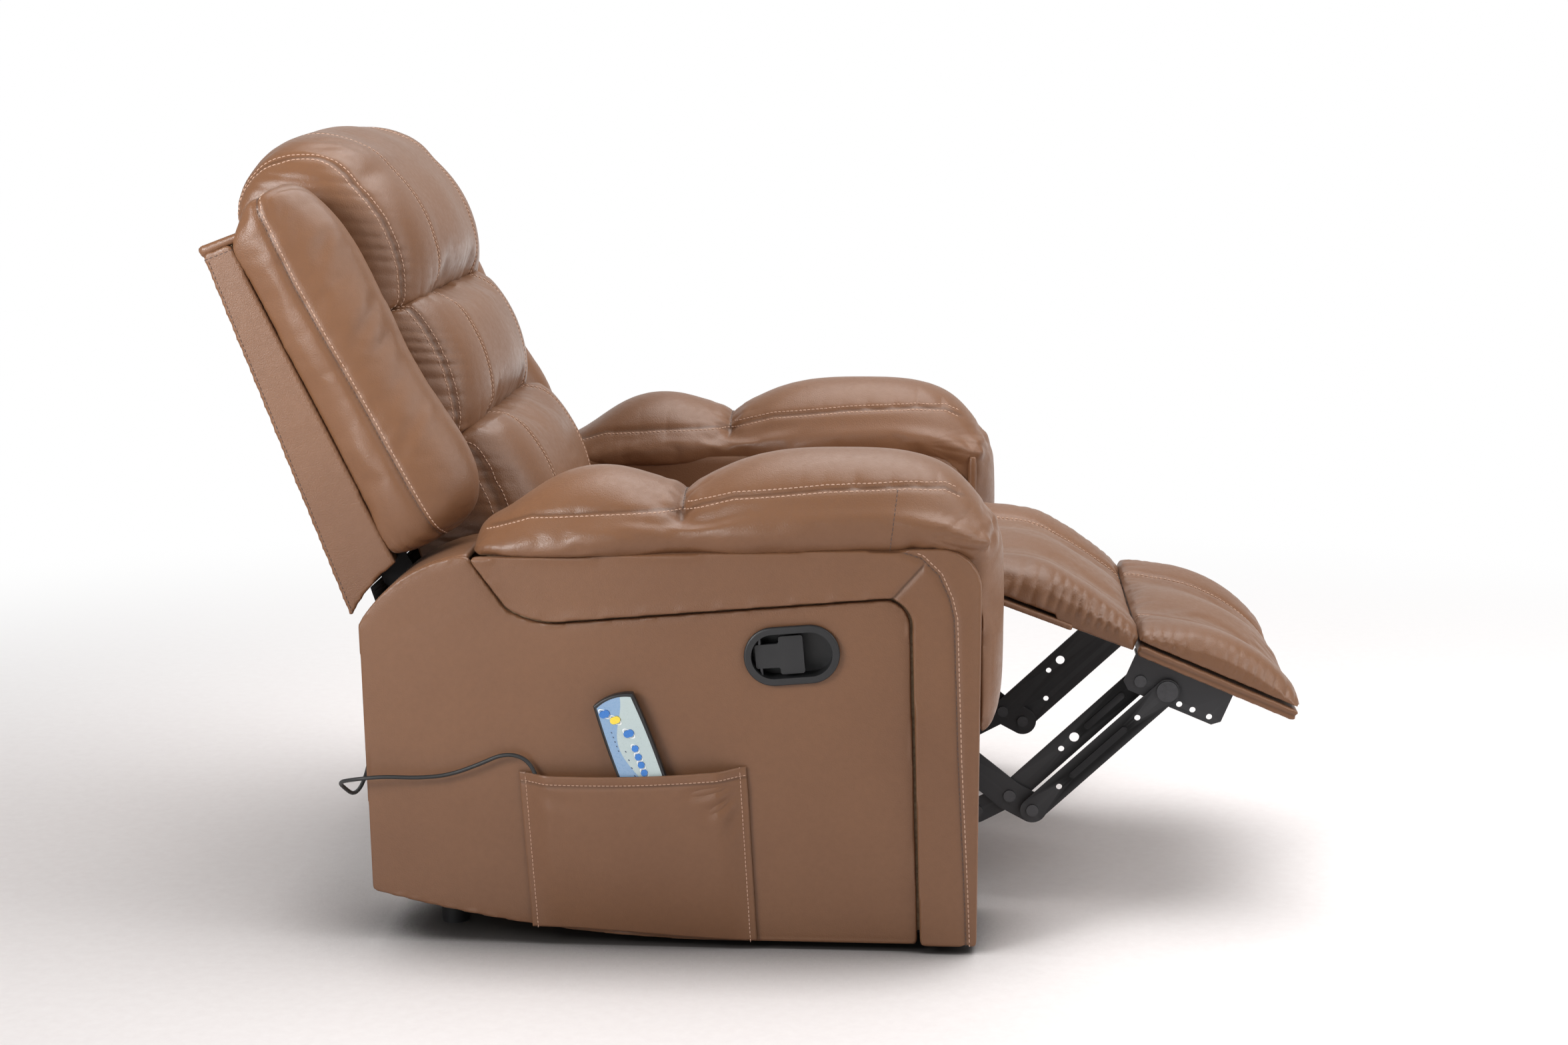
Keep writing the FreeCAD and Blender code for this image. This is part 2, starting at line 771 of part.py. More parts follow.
def seat_cushion():
    """Seat cushion with a crown, a low rear under the back pillow and a rounded nose."""
    low = seat_rail_high + spring_cover
    rear = ahead(cushion_rear_ahead)
    front = calf_rear_x(cushion_nose_z) - cushion_front_gap
    dip = ahead(cushion_dip_ahead)
    wires = []
    for place, fullness in cushion_stations_share:
        y = place * cushion_half
        top = low + (cushion_top_z - low) * fullness
        crown = top + cushion_crown * fullness
        nose = low + (cushion_nose_z - low) * fullness
        rear_top = low + (cushion_rear_z - low) * fullness
        bend = front - (top - nose)
        wires.append(closed([
            V(rear, y, low), V(bend, y, low), V(front, y, nose),
            (V((front + bend) / 2 + nose_bulge, y, (top + nose) / 2 + nose_bulge), V(bend, y, top)),
            (V((bend + dip) / 2, y, crown), V(dip, y, top)), V(rear, y, rear_top)]))
    return loft(wires)


def motor(centre, axis, height):
    """Round vibration motor on two ears, built up along axis."""
    can = Part.makeCylinder(motor_radius, height, centre, axis)
    can = can.makeFillet(motor_ear_thick, [can.Edges[0]])
    plate = Part.makeCylinder(motor_radius + motor_ear, motor_ear_thick, centre, axis)
    return can.fuse(plate).removeSplitter()


def seat_motors():
    """Two motors hung below the seat cushion on a board across the seat rails."""
    z = seat_rail_high - motor_ear_thick
    solids = []
    for y in (-seat_motor_out, seat_motor_out):
        solids.append(motor(V(ahead(seat_motor_ahead), y, z), V(0, 0, -1), motor_height))
    return Part.makeCompound(solids)


def motor_board():
    """Board under the springs that carries the seat motors, fixed to the plates at its ends."""
    inner = layer(5)[0]
    x = ahead(seat_motor_ahead)
    reach = motor_radius + motor_ear
    z = seat_rail_high - motor_ear_thick
    return box(x - reach, x + reach, -inner, inner, z, z + motor_ear_thick - clear)


# Footrest linkage


def layer(place):
    """Inner and outer face of a plate layer, counted from the outermost link inwards."""
    outer = link_outer - place * (link_thick + link_gap)
    return (outer - link_thick, outer)


def pivot(name_ahead, name_z):
    return V(ahead(name_ahead), 0, name_z)


lift_pivot = pivot(lift_pivot_ahead, lift_pivot_z)
cross_pivot = pivot(cross_pivot_ahead, cross_pivot_z)
low_pivot = pivot(low_pivot_ahead, low_pivot_z)
upper_end = pivot(upper_end_ahead, upper_end_z)
lower_end = pivot(lower_end_ahead, lower_end_z)
idler_pivot = pivot(idler_pivot_ahead, idler_pivot_z)
idler_end = pivot(idler_end_ahead, idler_end_z)


def bar(start, end, half, faces):
    """Flat bar with round ends between two pivots."""
    run = end.sub(start)
    length = run.Length
    unit = V(run.x / length, 0, run.z / length)
    square = V(-unit.z, 0, unit.x)
    y = V(0, faces[0], 0)
    side = square.multiply(half)
    tip = V(unit.x * half, 0, unit.z * half)
    wire = closed([start + side + y, (start - tip + y, start - side + y), end - side + y,
                   (end + tip + y, end + side + y)])
    return Part.Face(wire).extrude(V(0, faces[1] - faces[0], 0))


def between(start, end, share):
    return start + (end.sub(start)).multiply(share)


def drilled(shape, centre, radius, faces):
    return shape.cut(cross_pin(centre.x, centre.z, radius, faces[0] - link_gap, faces[1] + link_gap))


def beaded(shape, start, end, from_share, to_share, faces):
    """Adds a pressed stiffening bead to the outer face of a bar."""
    bead_faces = (faces[1], faces[1] + bead_height)
    bead = bar(between(start, end, from_share), between(start, end, to_share), bead_half, bead_faces)
    return shape.fuse(bead).removeSplitter()


def lift_link():
    """Lift link: from the fixed plate down to the two footrest links."""
    faces = layer(2)
    shape = bar(lift_pivot, cross_pivot, lift_half, faces).fuse(bar(cross_pivot, low_pivot, lift_half, faces))
    shape = shape.removeSplitter()
    shape = drilled(shape, lift_pivot, rivet_radius + pin_clear, faces)
    for centre in (cross_pivot, low_pivot):
        shape = drilled(shape, centre, rivet_radius, faces)
    return drilled(shape, between(lift_pivot, cross_pivot, 0.55), small_hole_radius, faces)


def upper_link():
    """Upper footrest link with its short tail to the idler."""
    faces = layer(3)
    shape = bar(cross_pivot, upper_end, link_half, faces).fuse(bar(idler_end, cross_pivot, link_half, faces))
    shape = shape.removeSplitter()
    for centre, radius in ((cross_pivot, rivet_radius + pin_clear), (upper_end, rivet_radius + pin_clear),
                           (idler_end, rivet_radius), (between(cross_pivot, upper_end, 0.5), link_hole_radius),
                           (between(cross_pivot, upper_end, 0.4), small_hole_radius)):
        shape = drilled(shape, centre, radius, faces)
    return beaded(shape, cross_pivot, upper_end, 0.6, 0.86, faces)


def lower_link():
    """Lower footrest link; its front eye has slack because it closes the linkage loop."""
    faces = layer(0)
    shape = bar(low_pivot, lower_end, link_half, faces)
    for centre, radius in ((low_pivot, rivet_radius + pin_clear), (lower_end, rivet_radius + open_pivot_slack),
                           (between(low_pivot, lower_end, 0.2), small_hole_radius),
                           (between(low_pivot, lower_end, 0.78), small_hole_radius)):
        shape = drilled(shape, centre, radius, faces)
    return beaded(shape, low_pivot, lower_end, 0.3, 0.68, faces)


def idler():
    """Idler from the fixed plate to the tail of the upper link; its end eye has slack."""
    faces = layer(4)
    end_half = rivet_radius + open_pivot_slack + link_thick
    ring = cross_pin(idler_end.x, idler_end.z, end_half, faces[0], faces[1])
    shape = bar(idler_pivot, idler_end, idler_half, faces).fuse(ring).removeSplitter()
    shape = drilled(shape, idler_pivot, rivet_radius + pin_clear, faces)
    return drilled(shape, idler_end, rivet_radius + open_pivot_slack, faces)


def mechanism_plate():
    """Fixed plate of the left mechanism, from the back pivot to the footrest pivots."""
    faces = layer(5)
    x_rear = ahead(back_pivot_ahead)
    x_front = ahead(plate_front_ahead)
    x_lug = ahead(plate_lug_rear_ahead)
    x_toe = lift_pivot.x + rivet_head_radius
    items = [(x_rear, plate_low_z), (x_lug, plate_low_z), (x_lug, plate_lug_low_z), (x_toe, plate_lug_low_z),
             (x_front, plate_low_z), (x_front, seat_rail_high), (x_rear + bracket_eye_radius, seat_rail_high),
             (x_rear, back_pivot_z + bracket_eye_radius)]
    shape = side_plate(items, faces[0], faces[1])
    eye = cross_pin(pivot_x, back_pivot_z, bracket_eye_radius, faces[0], faces[1])
    shape = shape.fuse(eye).removeSplitter()
    for centre in (lift_pivot, idler_pivot):
        shape = drilled(shape, centre, rivet_radius, faces)
    shape = shape.cut(cross_pin(pivot_x, back_pivot_z, back_pin_radius, faces[0] - link_gap, faces[1] + link_gap))
    latch = V(ahead(latch_ahead), 0, latch_z)
    return drilled(shape, latch, latch_pin_radius, faces)


def rivet(centre, inner, outer, outer_head_radius):
    """Pivot rivet through the layers between two faces, with a flat head at each end."""
    shank = cross_pin(centre.x, centre.z, rivet_radius, inner, outer)
    inner_head = cross_pin(centre.x, centre.z, rivet_head_radius, inner - rivet_head, inner)
    outer_head = cross_pin(centre.x, centre.z, outer_head_radius, outer, outer + rivet_head)
    return shank.fuse(inner_head).fuse(outer_head).removeSplitter()


def spacer(centre, inner, outer):
    """Loose ring that keeps two plates apart on a rivet."""
    ring = cross_pin(centre.x, centre.z, rivet_head_radius, inner + clear / 3, outer - clear / 3)
    return ring.cut(cross_pin(centre.x, centre.z, rivet_radius, inner, outer))


def stack(centre, inner_layer, outer_layer, outer_head_radius):
    """Rivet and spacer ring that join two plate layers."""
    inner = layer(inner_layer)
    outer = layer(outer_layer)
    return [rivet(centre, inner[0] - clear / 3, outer[1] + clear / 3, outer_head_radius),
            spacer(centre, inner[1], outer[0])]


def mechanism_rivets():
    solids = stack(lift_pivot, 5, 2, rivet_head_radius) + stack(idler_pivot, 5, 4, rivet_head_radius)
    return both(Part.makeCompound(solids))


def lift_rivets():
    solids = stack(cross_pivot, 3, 2, rivet_head_radius) + stack(low_pivot, 2, 0, rivet_head_radius)
    return both(Part.makeCompound(solids))


def upper_rivets():
    return both(Part.makeCompound(stack(idler_end, 4, 3, rivet_head_radius)))


def footrest_rivets():
    solids = stack(upper_end, 3, 1, rivet_head_radius) + stack(lower_end, 1, 0, open_head_radius)
    return both(Part.makeCompound(solids))


# Footrest and calf panel


def footrest_bracket():
    """Angle bracket under the left edge of the footrest board."""
    faces = layer(1)
    local = leg_local(upper_end)
    start = local[0] - bracket_tail
    end = local[0] + bracket_front_reach
    low = local[1] - bracket_drop
    web = [(start, 0), (start, low + bracket_drop / 2), (start + bracket_tail / 2, low),
           (end - bracket_tail / 2, low), (end, low + bracket_drop / 2), (end, 0)]
    points = [leg_plane.point(a, u, faces[0]) for a, u in web]
    shape = Part.Face(closed(points)).extrude(V(0, link_thick, 0))
    flange = slab(leg_plane, start, end, -link_thick, 0, faces[0] - bracket_flange, faces[1])
    shape = shape.fuse(flange).removeSplitter()
    for centre in (upper_end, lower_end):
        shape = drilled(shape, centre, rivet_radius, faces)
    for share in (0.5, 0.66, 0.86):
        centre = leg_plane.point(local[0] + bracket_front_reach * share, (low + local[1]) / 2)
        shape = drilled(shape, centre, small_hole_radius, faces)
    return shape


def leg_local(point):
    """Along and up places of a side-view point on the footrest's slope."""
    dx = point.x - leg_plane.x
    dz = point.z - leg_plane.z
    return (dx * leg_plane.cos + dz * leg_plane.sin, dz * leg_plane.cos - dx * leg_plane.sin)


def footrest_board():
    board = slab(leg_plane, 0, footrest_board_long, 0, footrest_board_thick, -footrest_half, footrest_half)
    return soften_ends(board)


def soften_ends(board):
    """Round the long edges of a covered board."""
    edges = [e for e in board.Edges if abs(e.Vertexes[0].Y - e.Vertexes[-1].Y) > footrest_half]
    return board.makeFillet(soft_edge / 2, edges)


def pad_loft(plane, rear, front, low, rear_edge, front_edge, crown, half, rear_lean):
    """Crowned pad on a sloping board: thin sewn edges, fuller in the middle."""
    wires = []
    for place, fullness in cushion_stations_share:
        y = place * half
        rear_up = low + rear_edge * fullness
        front_up = low + front_edge * fullness
        top = (rear_up + front_up) / 2 + crown * fullness
        draw = soft_edge * (1 - fullness)
        wires.append(closed([
            plane.point(rear + draw, low, y), plane.point(front - draw, low, y),
            plane.point(front - draw, front_up, y),
            (plane.point((rear + front) / 2, top, y),
             plane.point(rear + draw - rear_lean * fullness, rear_up, y))]))
    return loft(wires)


def footrest_pad():
    low = footrest_board_thick + clear
    return pad_loft(leg_plane, footrest_pad_rear_in, footrest_board_long + footrest_pad_over, low,
                    footrest_pad_edge, footrest_pad_front_edge, footrest_pad_crown, footrest_half, 0)


def calf_board():
    """Short stiff board behind the upper part of the calf pad."""
    return slab(calf_plane, 0, calf_board_long, 0, calf_board_thick, -calf_half, calf_half)


def calf_pad():
    low = calf_board_thick + clear
    return pad_loft(calf_plane, 0, calf_long, low, calf_pad_rear, calf_pad_front, calf_pad_crown, calf_half,
                    calf_rear_lean)


def footrest_motors():
    """Two motors under the footrest board, between the brackets."""
    solids = []
    for y in (-leg_motor_out, leg_motor_out):
        solids.append(motor(leg_plane.point(leg_motor_along, -clear / 3, y), leg_plane.direction(0, -1),
                            leg_motor_height))
    return Part.makeCompound(solids)


# Back


def back_rear_panel():
    """Covered panel over the rear of the back."""
    return slab(back_plane, back_rear, back_rear + back_panel_thick, back_low, back_top,
                -back_half + back_panel_thick + clear, back_half - back_panel_thick - clear)


def back_side_panel():
    """Flat covered strip on the left side of the back, with a round lower end."""
    low_rear = math.sqrt(back_radius ** 2 - back_rear ** 2)
    low_front = math.sqrt(back_radius ** 2 - strip_front_low ** 2)
    middle = (back_rear + strip_front_low) / 2
    low_middle = math.sqrt(back_radius ** 2 - middle ** 2)
    y = back_half - back_panel_thick
    wire = closed([
        back_plane.point(back_rear, low_rear, y), back_plane.point(back_rear, back_top, y),
        back_plane.point(strip_front_top, back_top, y), back_plane.point(strip_front_low, low_front, y),
        (back_plane.point(middle, low_middle, y), back_plane.point(back_rear, low_rear, y))])
    return Part.Face(wire).extrude(V(0, back_panel_thick, 0))


def back_frame():
    """Two stiles and three rails of the back."""
    rear = back_rear + back_panel_thick + clear
    front = rear + stile_depth
    outer = layer(5)[0] - bracket_thick - 2 * clear
    stile = slab(back_plane, rear, front, stile_low, back_top, outer - stile_width, outer)
    reach = back_half - back_panel_thick - clear
    rails = []
    for low in (back_low_rail_up, back_mid_rail_up, back_top - rail_wide):
        half = outer - stile_width
        rails.append(slab(back_plane, rear, front, low, low + rail_wide, -half, half))
        inner = outer if low > stile_low + 2 * rail_wide else layer(5)[0]
        stub = slab(back_plane, rear, front, low, low + rail_wide, inner, reach)
        rails += [stub, mirrored(stub)]
    return Part.makeCompound([stile, mirrored(stile)] + rails)


def back_webbing():
    """Elastic straps across the front of the back frame."""
    front = back_rear + back_panel_thick + clear + stile_depth
    reach = layer(5)[0] - bracket_thick - 2 * clear
    strips = []
    for place in range(web_count):
        low = web_first_up + (web_last_up - web_first_up) * place / (web_count - 1) - web_width / 2
        strips.append(slab(back_plane, front, front + web_thick, low, low + web_width, -reach, reach))
    return Part.makeCompound(strips)


def back_motors():
    """Four motors on the webbing behind the pillows."""
    face = back_rear + back_panel_thick + clear + stile_depth + web_thick
    solids = []
    for up in (back_motor_low_up, back_motor_high_up):
        for y in (-back_motor_out, back_motor_out):
            solids.append(motor(back_plane.point(face, up, y), back_plane.direction(1, 0), motor_height))
    return Part.makeCompound(solids)


def heating_pad():
    """Thin heating pad on the rear of the lumbar pillow."""
    return slab(back_plane, pillow_back - clear / 3 - heat_pad_thick, pillow_back - clear / 3, heat_pad_low,
                heat_pad_high, -heat_pad_half, heat_pad_half)


def pillow_loft(low, high, front, crown, half):
    """Back pillow: flat rear, crowned front, ends drawn in."""
    wires = []
    for place, fullness in pillow_stations_share:
        y = place * half
        face = pillow_back + (front - pillow_back) * fullness
        draw = pillow_draw * (1 - fullness)
        middle = (low + high) / 2
        wires.append(closed([
            back_plane.point(pillow_back, low, y), back_plane.point(face, low + draw, y),
            (back_plane.point(face + crown * fullness, middle, y), back_plane.point(face, high - draw, y)),
            back_plane.point(pillow_back, high, y)]))
    return loft(wires)


def lumbar_pillow():
    half = arm_inner - pad_inner_overhang - pad_side_bulge - lumbar_side_gap
    return pillow_loft(lumbar_low, lumbar_top, lumbar_front, lumbar_crown, half)


def middle_pillow():
    return pillow_loft(lumbar_top + pillow_gap, middle_top, middle_front, middle_crown, pillow_half)


def headrest_pillow():
    """Head pillow that goes over the top of the back."""
    low = middle_top + pillow_gap
    ledge = back_top + clear
    wires = []
    for place, fullness in pillow_stations_share:
        y = place * pillow_half
        face = pillow_back + (headrest_front - pillow_back) * fullness
        top = ledge + (headrest_top - ledge) * fullness
        draw = pillow_draw * (1 - fullness)
        shoulder = ledge + (headrest_shoulder_up - ledge) * fullness
        peak = face - (headrest_top - headrest_shoulder_up)
        rear = headrest_rear + draw
        round_middle = back_plane.point((face + peak) / 2 + headrest_crown / 2,
                                        (shoulder + top) / 2 + headrest_crown / 2, y)
        rear_middle = back_plane.point((peak + rear) / 2, top - draw / 2, y)
        wires.append(closed([
            back_plane.point(pillow_back, low, y), back_plane.point(face, low + draw, y),
            (back_plane.point(face + headrest_crown * fullness, (low + shoulder) / 2, y),
             back_plane.point(face, shoulder, y)),
            (round_middle, back_plane.point(peak, top, y)),
            (rear_middle, back_plane.point(rear, ledge, y)),
            back_plane.point(pillow_back, ledge, y)]))
    return loft(wires)


def strip_front(up):
    """Front edge of the back's side strip at a height up the back."""
    share = (up - strip_low_up) / (back_top - strip_low_up)
    return strip_front_low + share * (strip_front_top - strip_front_low)


def bolster():
    """Long rounded side cushion of the back on the left."""
    wires = []
    for up_share, depth_share, width_share in bolster_stations_share:
        up = bolster_low + up_share * (bolster_top - bolster_low)
        rear = strip_front(up) + bolster_rest_gap
        full = bolster_front_low + up_share * (bolster_front_top - bolster_front_low)
        face = rear + (full - rear) * depth_share
        middle = (bolster_inner + bolster_outer) / 2
        half = (bolster_outer - bolster_inner) / 2 * width_share
        inner = middle - half
        outer = middle + half
        waist = (rear + face) / 2
        bulge = bolster_side_bulge * depth_share
        crown = bolster_crown * depth_share
        wires.append(closed([
            back_plane.point(rear, up, inner), back_plane.point(rear, up, outer),
            (back_plane.point(waist, up, outer + bulge), back_plane.point(face, up, outer - half / 2)),
            (back_plane.point(face + crown, up, middle), back_plane.point(face, up, inner + half / 2)),
            (back_plane.point(waist, up, inner - bulge / 2), back_plane.point(rear, up, inner))]))
    return loft(wires)


def back_bracket():
    """Steel arm from the back pivot to the left stile."""
    outer = layer(5)[0] - clear
    rear = back_rear + back_panel_thick + clear
    front = rear + stile_depth
    top = stile_low + 2 * rail_wide
    y = outer - bracket_thick
    web = [(bracket_eye_radius, 0), (pillow_back - bracket_inset, lumbar_low - bracket_inset),
           (front, top), (rear, top), (rear, stile_low), (-bracket_eye_radius, 0)]
    shape = Part.Face(closed([back_plane.point(n, t, y) for n, t in web])).extrude(V(0, bracket_thick, 0))
    shape = shape.fuse(cross_pin(pivot_x, back_pivot_z, bracket_eye_radius, y, outer)).removeSplitter()
    return shape.cut(cross_pin(pivot_x, back_pivot_z, back_pin_radius + pin_clear, y - link_gap, outer + link_gap))


def back_pins():
    """Pivot pins of the back, fixed in the mechanism plates."""
    outer = layer(5)[1]
    inner = layer(5)[0] - bracket_thick - 2 * clear
    pin = cross_pin(pivot_x, back_pivot_z, back_pin_radius, inner, outer)
    pin = pin.fuse(cross_pin(pivot_x, back_pivot_z, back_pin_head_radius, inner - back_pin_head, inner))
    head = cross_pin(pivot_x, back_pivot_z, back_pin_head_radius, outer, outer + back_pin_head)
    return both(pin.fuse(head).removeSplitter())


# Release handle, on the right side only


bezel_plane = Slope(ahead(bezel_ahead), bezel_z, math.degrees(math.atan2(band_front_z - valley_z,
                                                                        band_front_ahead - valley_ahead)))


def stadium(long, high, y_from, y_to):
    """Upright oval block around the handle's centre."""
    half = high / 2
    reach = long / 2 - half
    wire = closed([
        bezel_plane.point(-reach, -half, y_from), bezel_plane.point(reach, -half, y_from),
        (bezel_plane.point(reach + half, 0, y_from), bezel_plane.point(reach, half, y_from)),
        bezel_plane.point(-reach, half, y_from),
        (bezel_plane.point(-reach - half, 0, y_from), bezel_plane.point(-reach, -half, y_from))])
    return Part.Face(wire).extrude(V(0, y_to - y_from, 0))


def handle_bezel():
    """Oval rim with a deep cup behind it for the fingers, carrying the paddle's pin."""
    face = -panel_face
    inner_long = bezel_long - 2 * bezel_flange
    inner_high = bezel_high - 2 * bezel_flange
    rim = stadium(bezel_long, bezel_high, face - bezel_proud, face)
    rim = soften(rim, face - bezel_proud, bezel_proud / 2)
    cup = stadium(inner_long + 2 * cup_wall, inner_high + 2 * cup_wall, face, face + cup_depth)
    hollow = stadium(inner_long, inner_high, face - bezel_proud, face + cup_depth - cup_wall)
    shape = rim.fuse(cup).cut(hollow).removeSplitter()
    return shape.cut(handle_pin())


def paddle_hinge():
    """Middle of the paddle's upright pin."""
    along = -(bezel_long / 2 - bezel_flange) + paddle_rear_gap + paddle_thick
    y = -panel_face + paddle_set + paddle_thick / 2
    return bezel_plane.point(along, 0, y)


def paddle_pin_hole(centre, half, radius):
    up = bezel_plane.direction(0, 1)
    start = centre - V(up.x * half, 0, up.z * half)
    return Part.makeCylinder(radius, 2 * half, start, up)


def handle_paddle():
    """Pull paddle: narrow tab at its pin and a wide grip at its free end."""
    y_front = -panel_face + paddle_set
    hinge = paddle_hinge()
    start = -(bezel_long / 2 - bezel_flange) + paddle_rear_gap
    tab_end = start + paddle_tab_long
    end = tab_end + paddle_long
    tab = paddle_tab_high / 2
    grip = min(paddle_high / 2, bezel_high / 2 - bezel_flange - paddle_edge_gap)
    corners = [(start, -tab), (tab_end, -tab), (tab_end, -grip), (end, -grip), (end, grip), (tab_end, grip),
               (tab_end, tab), (start, tab)]
    face = Part.Face(closed([bezel_plane.point(a, u, y_front) for a, u in corners]))
    shape = face.extrude(V(0, paddle_thick, 0))
    edges = [e for e in shape.Edges if abs(e.Vertexes[0].Y - e.Vertexes[-1].Y) > clear]
    shape = shape.makeFillet(paddle_edge_radius / 2, edges)
    return shape.cut(paddle_pin_hole(hinge, bezel_high, paddle_pin_radius + pin_clear))


def pin_reach():
    """Half length of the paddle's pin: to the middle of the cup wall in its round end."""
    round_radius = bezel_high / 2 - bezel_flange
    past_centre = round_radius - paddle_rear_gap - paddle_thick
    return math.sqrt(round_radius ** 2 - past_centre ** 2) + cup_wall / 2


def handle_pin():
    """Upright pin of the paddle, held at both ends by the cup."""
    return paddle_pin_hole(paddle_hinge(), pin_reach(), paddle_pin_radius)


def tube(points, radius, turn):
    """Round tube along straight runs joined by tangent arcs of one radius."""
    edges = []
    here = points[0]
    for place in range(1, len(points) - 1):
        corner = points[place]
        before = points[place - 1].sub(corner)
        after = points[place + 1].sub(corner)
        before.normalize()
        after.normalize()
        half = before.getAngle(after) / 2
        reach = turn / math.tan(half)
        start = corner + V(before).multiply(reach)
        end = corner + V(after).multiply(reach)
        bisector = before + after
        bisector.normalize()
        middle = corner + bisector.multiply(turn / math.sin(half) - turn)
        edges.append(Part.LineSegment(here, start).toShape())
        edges.append(Part.Arc(start, middle, end).toShape())
        here = end
    edges.append(Part.LineSegment(here, points[-1]).toShape())
    path = Part.Wire(edges)
    way = points[1].sub(points[0])
    ring = Part.Wire([Part.Circle(points[0], way, radius).toShape()])
    return path.makePipeShell([ring], True, True), path.Length


def release_cable():
    """Cable from the handle's cup, through the arm, to the latch on the right plate."""
    y_start = -panel_face + cup_depth
    y_end = -layer(5)[1]
    x_start = ahead(bezel_ahead)
    points = [V(x_start, y_start, bezel_z), V(x_start, -cable_in_out, bezel_z),
              V(x_start, -cable_in_out, latch_z), V(x_start, y_end, latch_z)]
    shape, length = tube(points, cable_radius, cable_turn_radius)
    share = shape.Volume / (math.pi * cable_radius ** 2 * length)
    print("release cable", round(length), "volume share", round(share, 3))
    return shape


def cable_hole(shape):
    """Hole of the release cable through a board of the right arm."""
    x = ahead(bezel_ahead)
    return shape.cut(cross_pin(x, latch_z, cable_radius + clear, -panel_inner, -arm_inner + cable_radius))


def release_latch():
    """Latch on the right plate that the cable pulls."""
    outer = -layer(5)[0] + clear / 3
    faces = (outer, outer + latch_thick)
    start = V(ahead(latch_ahead), 0, latch_z)
    end = V(ahead(latch_ahead) - latch_long, 0, latch_z)
    shape = bar(start, end, latch_half, faces)
    return drilled(shape, start, latch_pin_radius + pin_clear, faces)


def latch_pin():
    inner = -layer(5)[0]
    x = ahead(latch_ahead)
    top = inner + latch_thick + 2 * clear
    shank = cross_pin(x, latch_z, latch_pin_radius, inner - link_thick, top)
    return shank.fuse(cross_pin(x, latch_z, latch_head_radius, top, top + latch_head)).removeSplitter()


# Pocket and remote


def pocket_section(z, depth, gap):
    """Plan outline of the pocket at one height, drawn in by gap, bulging from the side panel."""
    share = (pocket_rear_top_z - z) / (pocket_rear_top_z - pocket_low_z)
    rear = ahead(pocket_rear_ahead) + share * pocket_lean + gap
    front = ahead(pocket_front_ahead) + share * pocket_lean - gap
    face = -panel_face
    return closed([
        V(rear, face, z), V(front, face, z), V(front - pocket_side, face - depth, z),
        V(rear + pocket_side, face - depth, z)])


def pocket():
    """Leather patch pocket: a pouch above, flat below its floor seam, open at the top."""
    flat = 2 * pocket_wall
    pouch = Part.makeLoft([pocket_section(pocket_low_z, flat, 0), pocket_section(pocket_floor_z, pocket_bulge, 0)],
                          True, True)
    top = max(pocket_rear_top_z, pocket_front_top_z)
    upper = Part.makeLoft([pocket_section(pocket_floor_z, pocket_bulge, 0), pocket_section(top, pocket_bulge, 0)],
                          True, True)
    hollow = Part.makeLoft([pocket_section(pocket_floor_z + pocket_wall, pocket_bulge - pocket_wall, pocket_wall),
                            pocket_section(top + pocket_wall, pocket_bulge - pocket_wall, pocket_wall)], True, True)
    shape = pouch.fuse(upper).cut(hollow)
    mouth_rear = ahead(pocket_rear_ahead) - pocket_side
    mouth_front = ahead(pocket_front_ahead) + pocket_side
    mouth = [(mouth_rear, pocket_rear_top_z), (mouth_front, pocket_front_top_z),
             (mouth_front, top + pocket_side), (mouth_rear, top + pocket_side)]
    return shape.cut(side_plate(mouth, -panel_face - 2 * pocket_bulge, -panel_face + pocket_bulge)).removeSplitter()


remote_plane = Slope(ahead(remote_top_ahead), remote_top_z, remote_lean)


def remote_outline(inset, y):
    """Barrel outline of the remote, seen from the side of the chair."""
    waist = remote_waist / 2 - inset
    belly = remote_belly / 2 - inset
    top = -inset
    low = -remote_long + inset
    middle = (top + low) / 2
    crown = remote_waist / 10
    return closed([
        remote_plane.point(-waist, top - crown, y),
        (remote_plane.point(0, top, y), remote_plane.point(waist, top - crown, y)),
        (remote_plane.point(belly, middle, y), remote_plane.point(waist, low + crown, y)),
        (remote_plane.point(0, low, y), remote_plane.point(-waist, low + crown, y)),
        (remote_plane.point(-belly, middle, y), remote_plane.point(-waist, top - crown, y))])


remote_rear = -panel_face - remote_seat
remote_front = remote_rear - remote_thick


def remote_rear_shell():
    shape = Part.Face(remote_outline(0, remote_rear)).extrude(V(0, -remote_split, 0))
    return soften(shape, remote_rear, remote_face_inset)


def remote_front_shell():
    """Front half of the remote with a shallow bed for the face sheet and wells for the keys."""
    start = remote_rear - remote_split
    shape = Part.Face(remote_outline(0, start)).extrude(V(0, remote_front - start, 0))
    shape = soften(shape, remote_front, remote_face_inset / 2)
    bed = Part.Face(remote_outline(remote_face_inset, remote_front)).extrude(V(0, remote_face_thick, 0))
    return key_wells(shape.cut(bed), key_gap)


def key_wells(shape, gap):
    for solid in key_blocks(gap, key_depth + key_travel + clear):
        shape = shape.cut(solid)
    return shape


def remote_face():
    """Printed face sheet lying in the front shell."""
    sheet = Part.Face(remote_outline(remote_face_inset, remote_front)).extrude(V(0, remote_face_thick, 0))
    return key_wells(sheet, key_gap)


def oval(along, up, gap, y, depth):
    """Oval key, its long side across the remote."""
    half = oval_high / 2 + gap
    reach = (oval_long - oval_high) / 2
    wire = closed([
        remote_plane.point(along - reach, up - half, y), remote_plane.point(along + reach, up - half, y),
        (remote_plane.point(along + reach + half, up, y), remote_plane.point(along + reach, up + half, y)),
        remote_plane.point(along - reach, up + half, y),
        (remote_plane.point(along - reach - half, up, y), remote_plane.point(along - reach, up - half, y))])
    return Part.Face(wire).extrude(V(0, depth, 0))


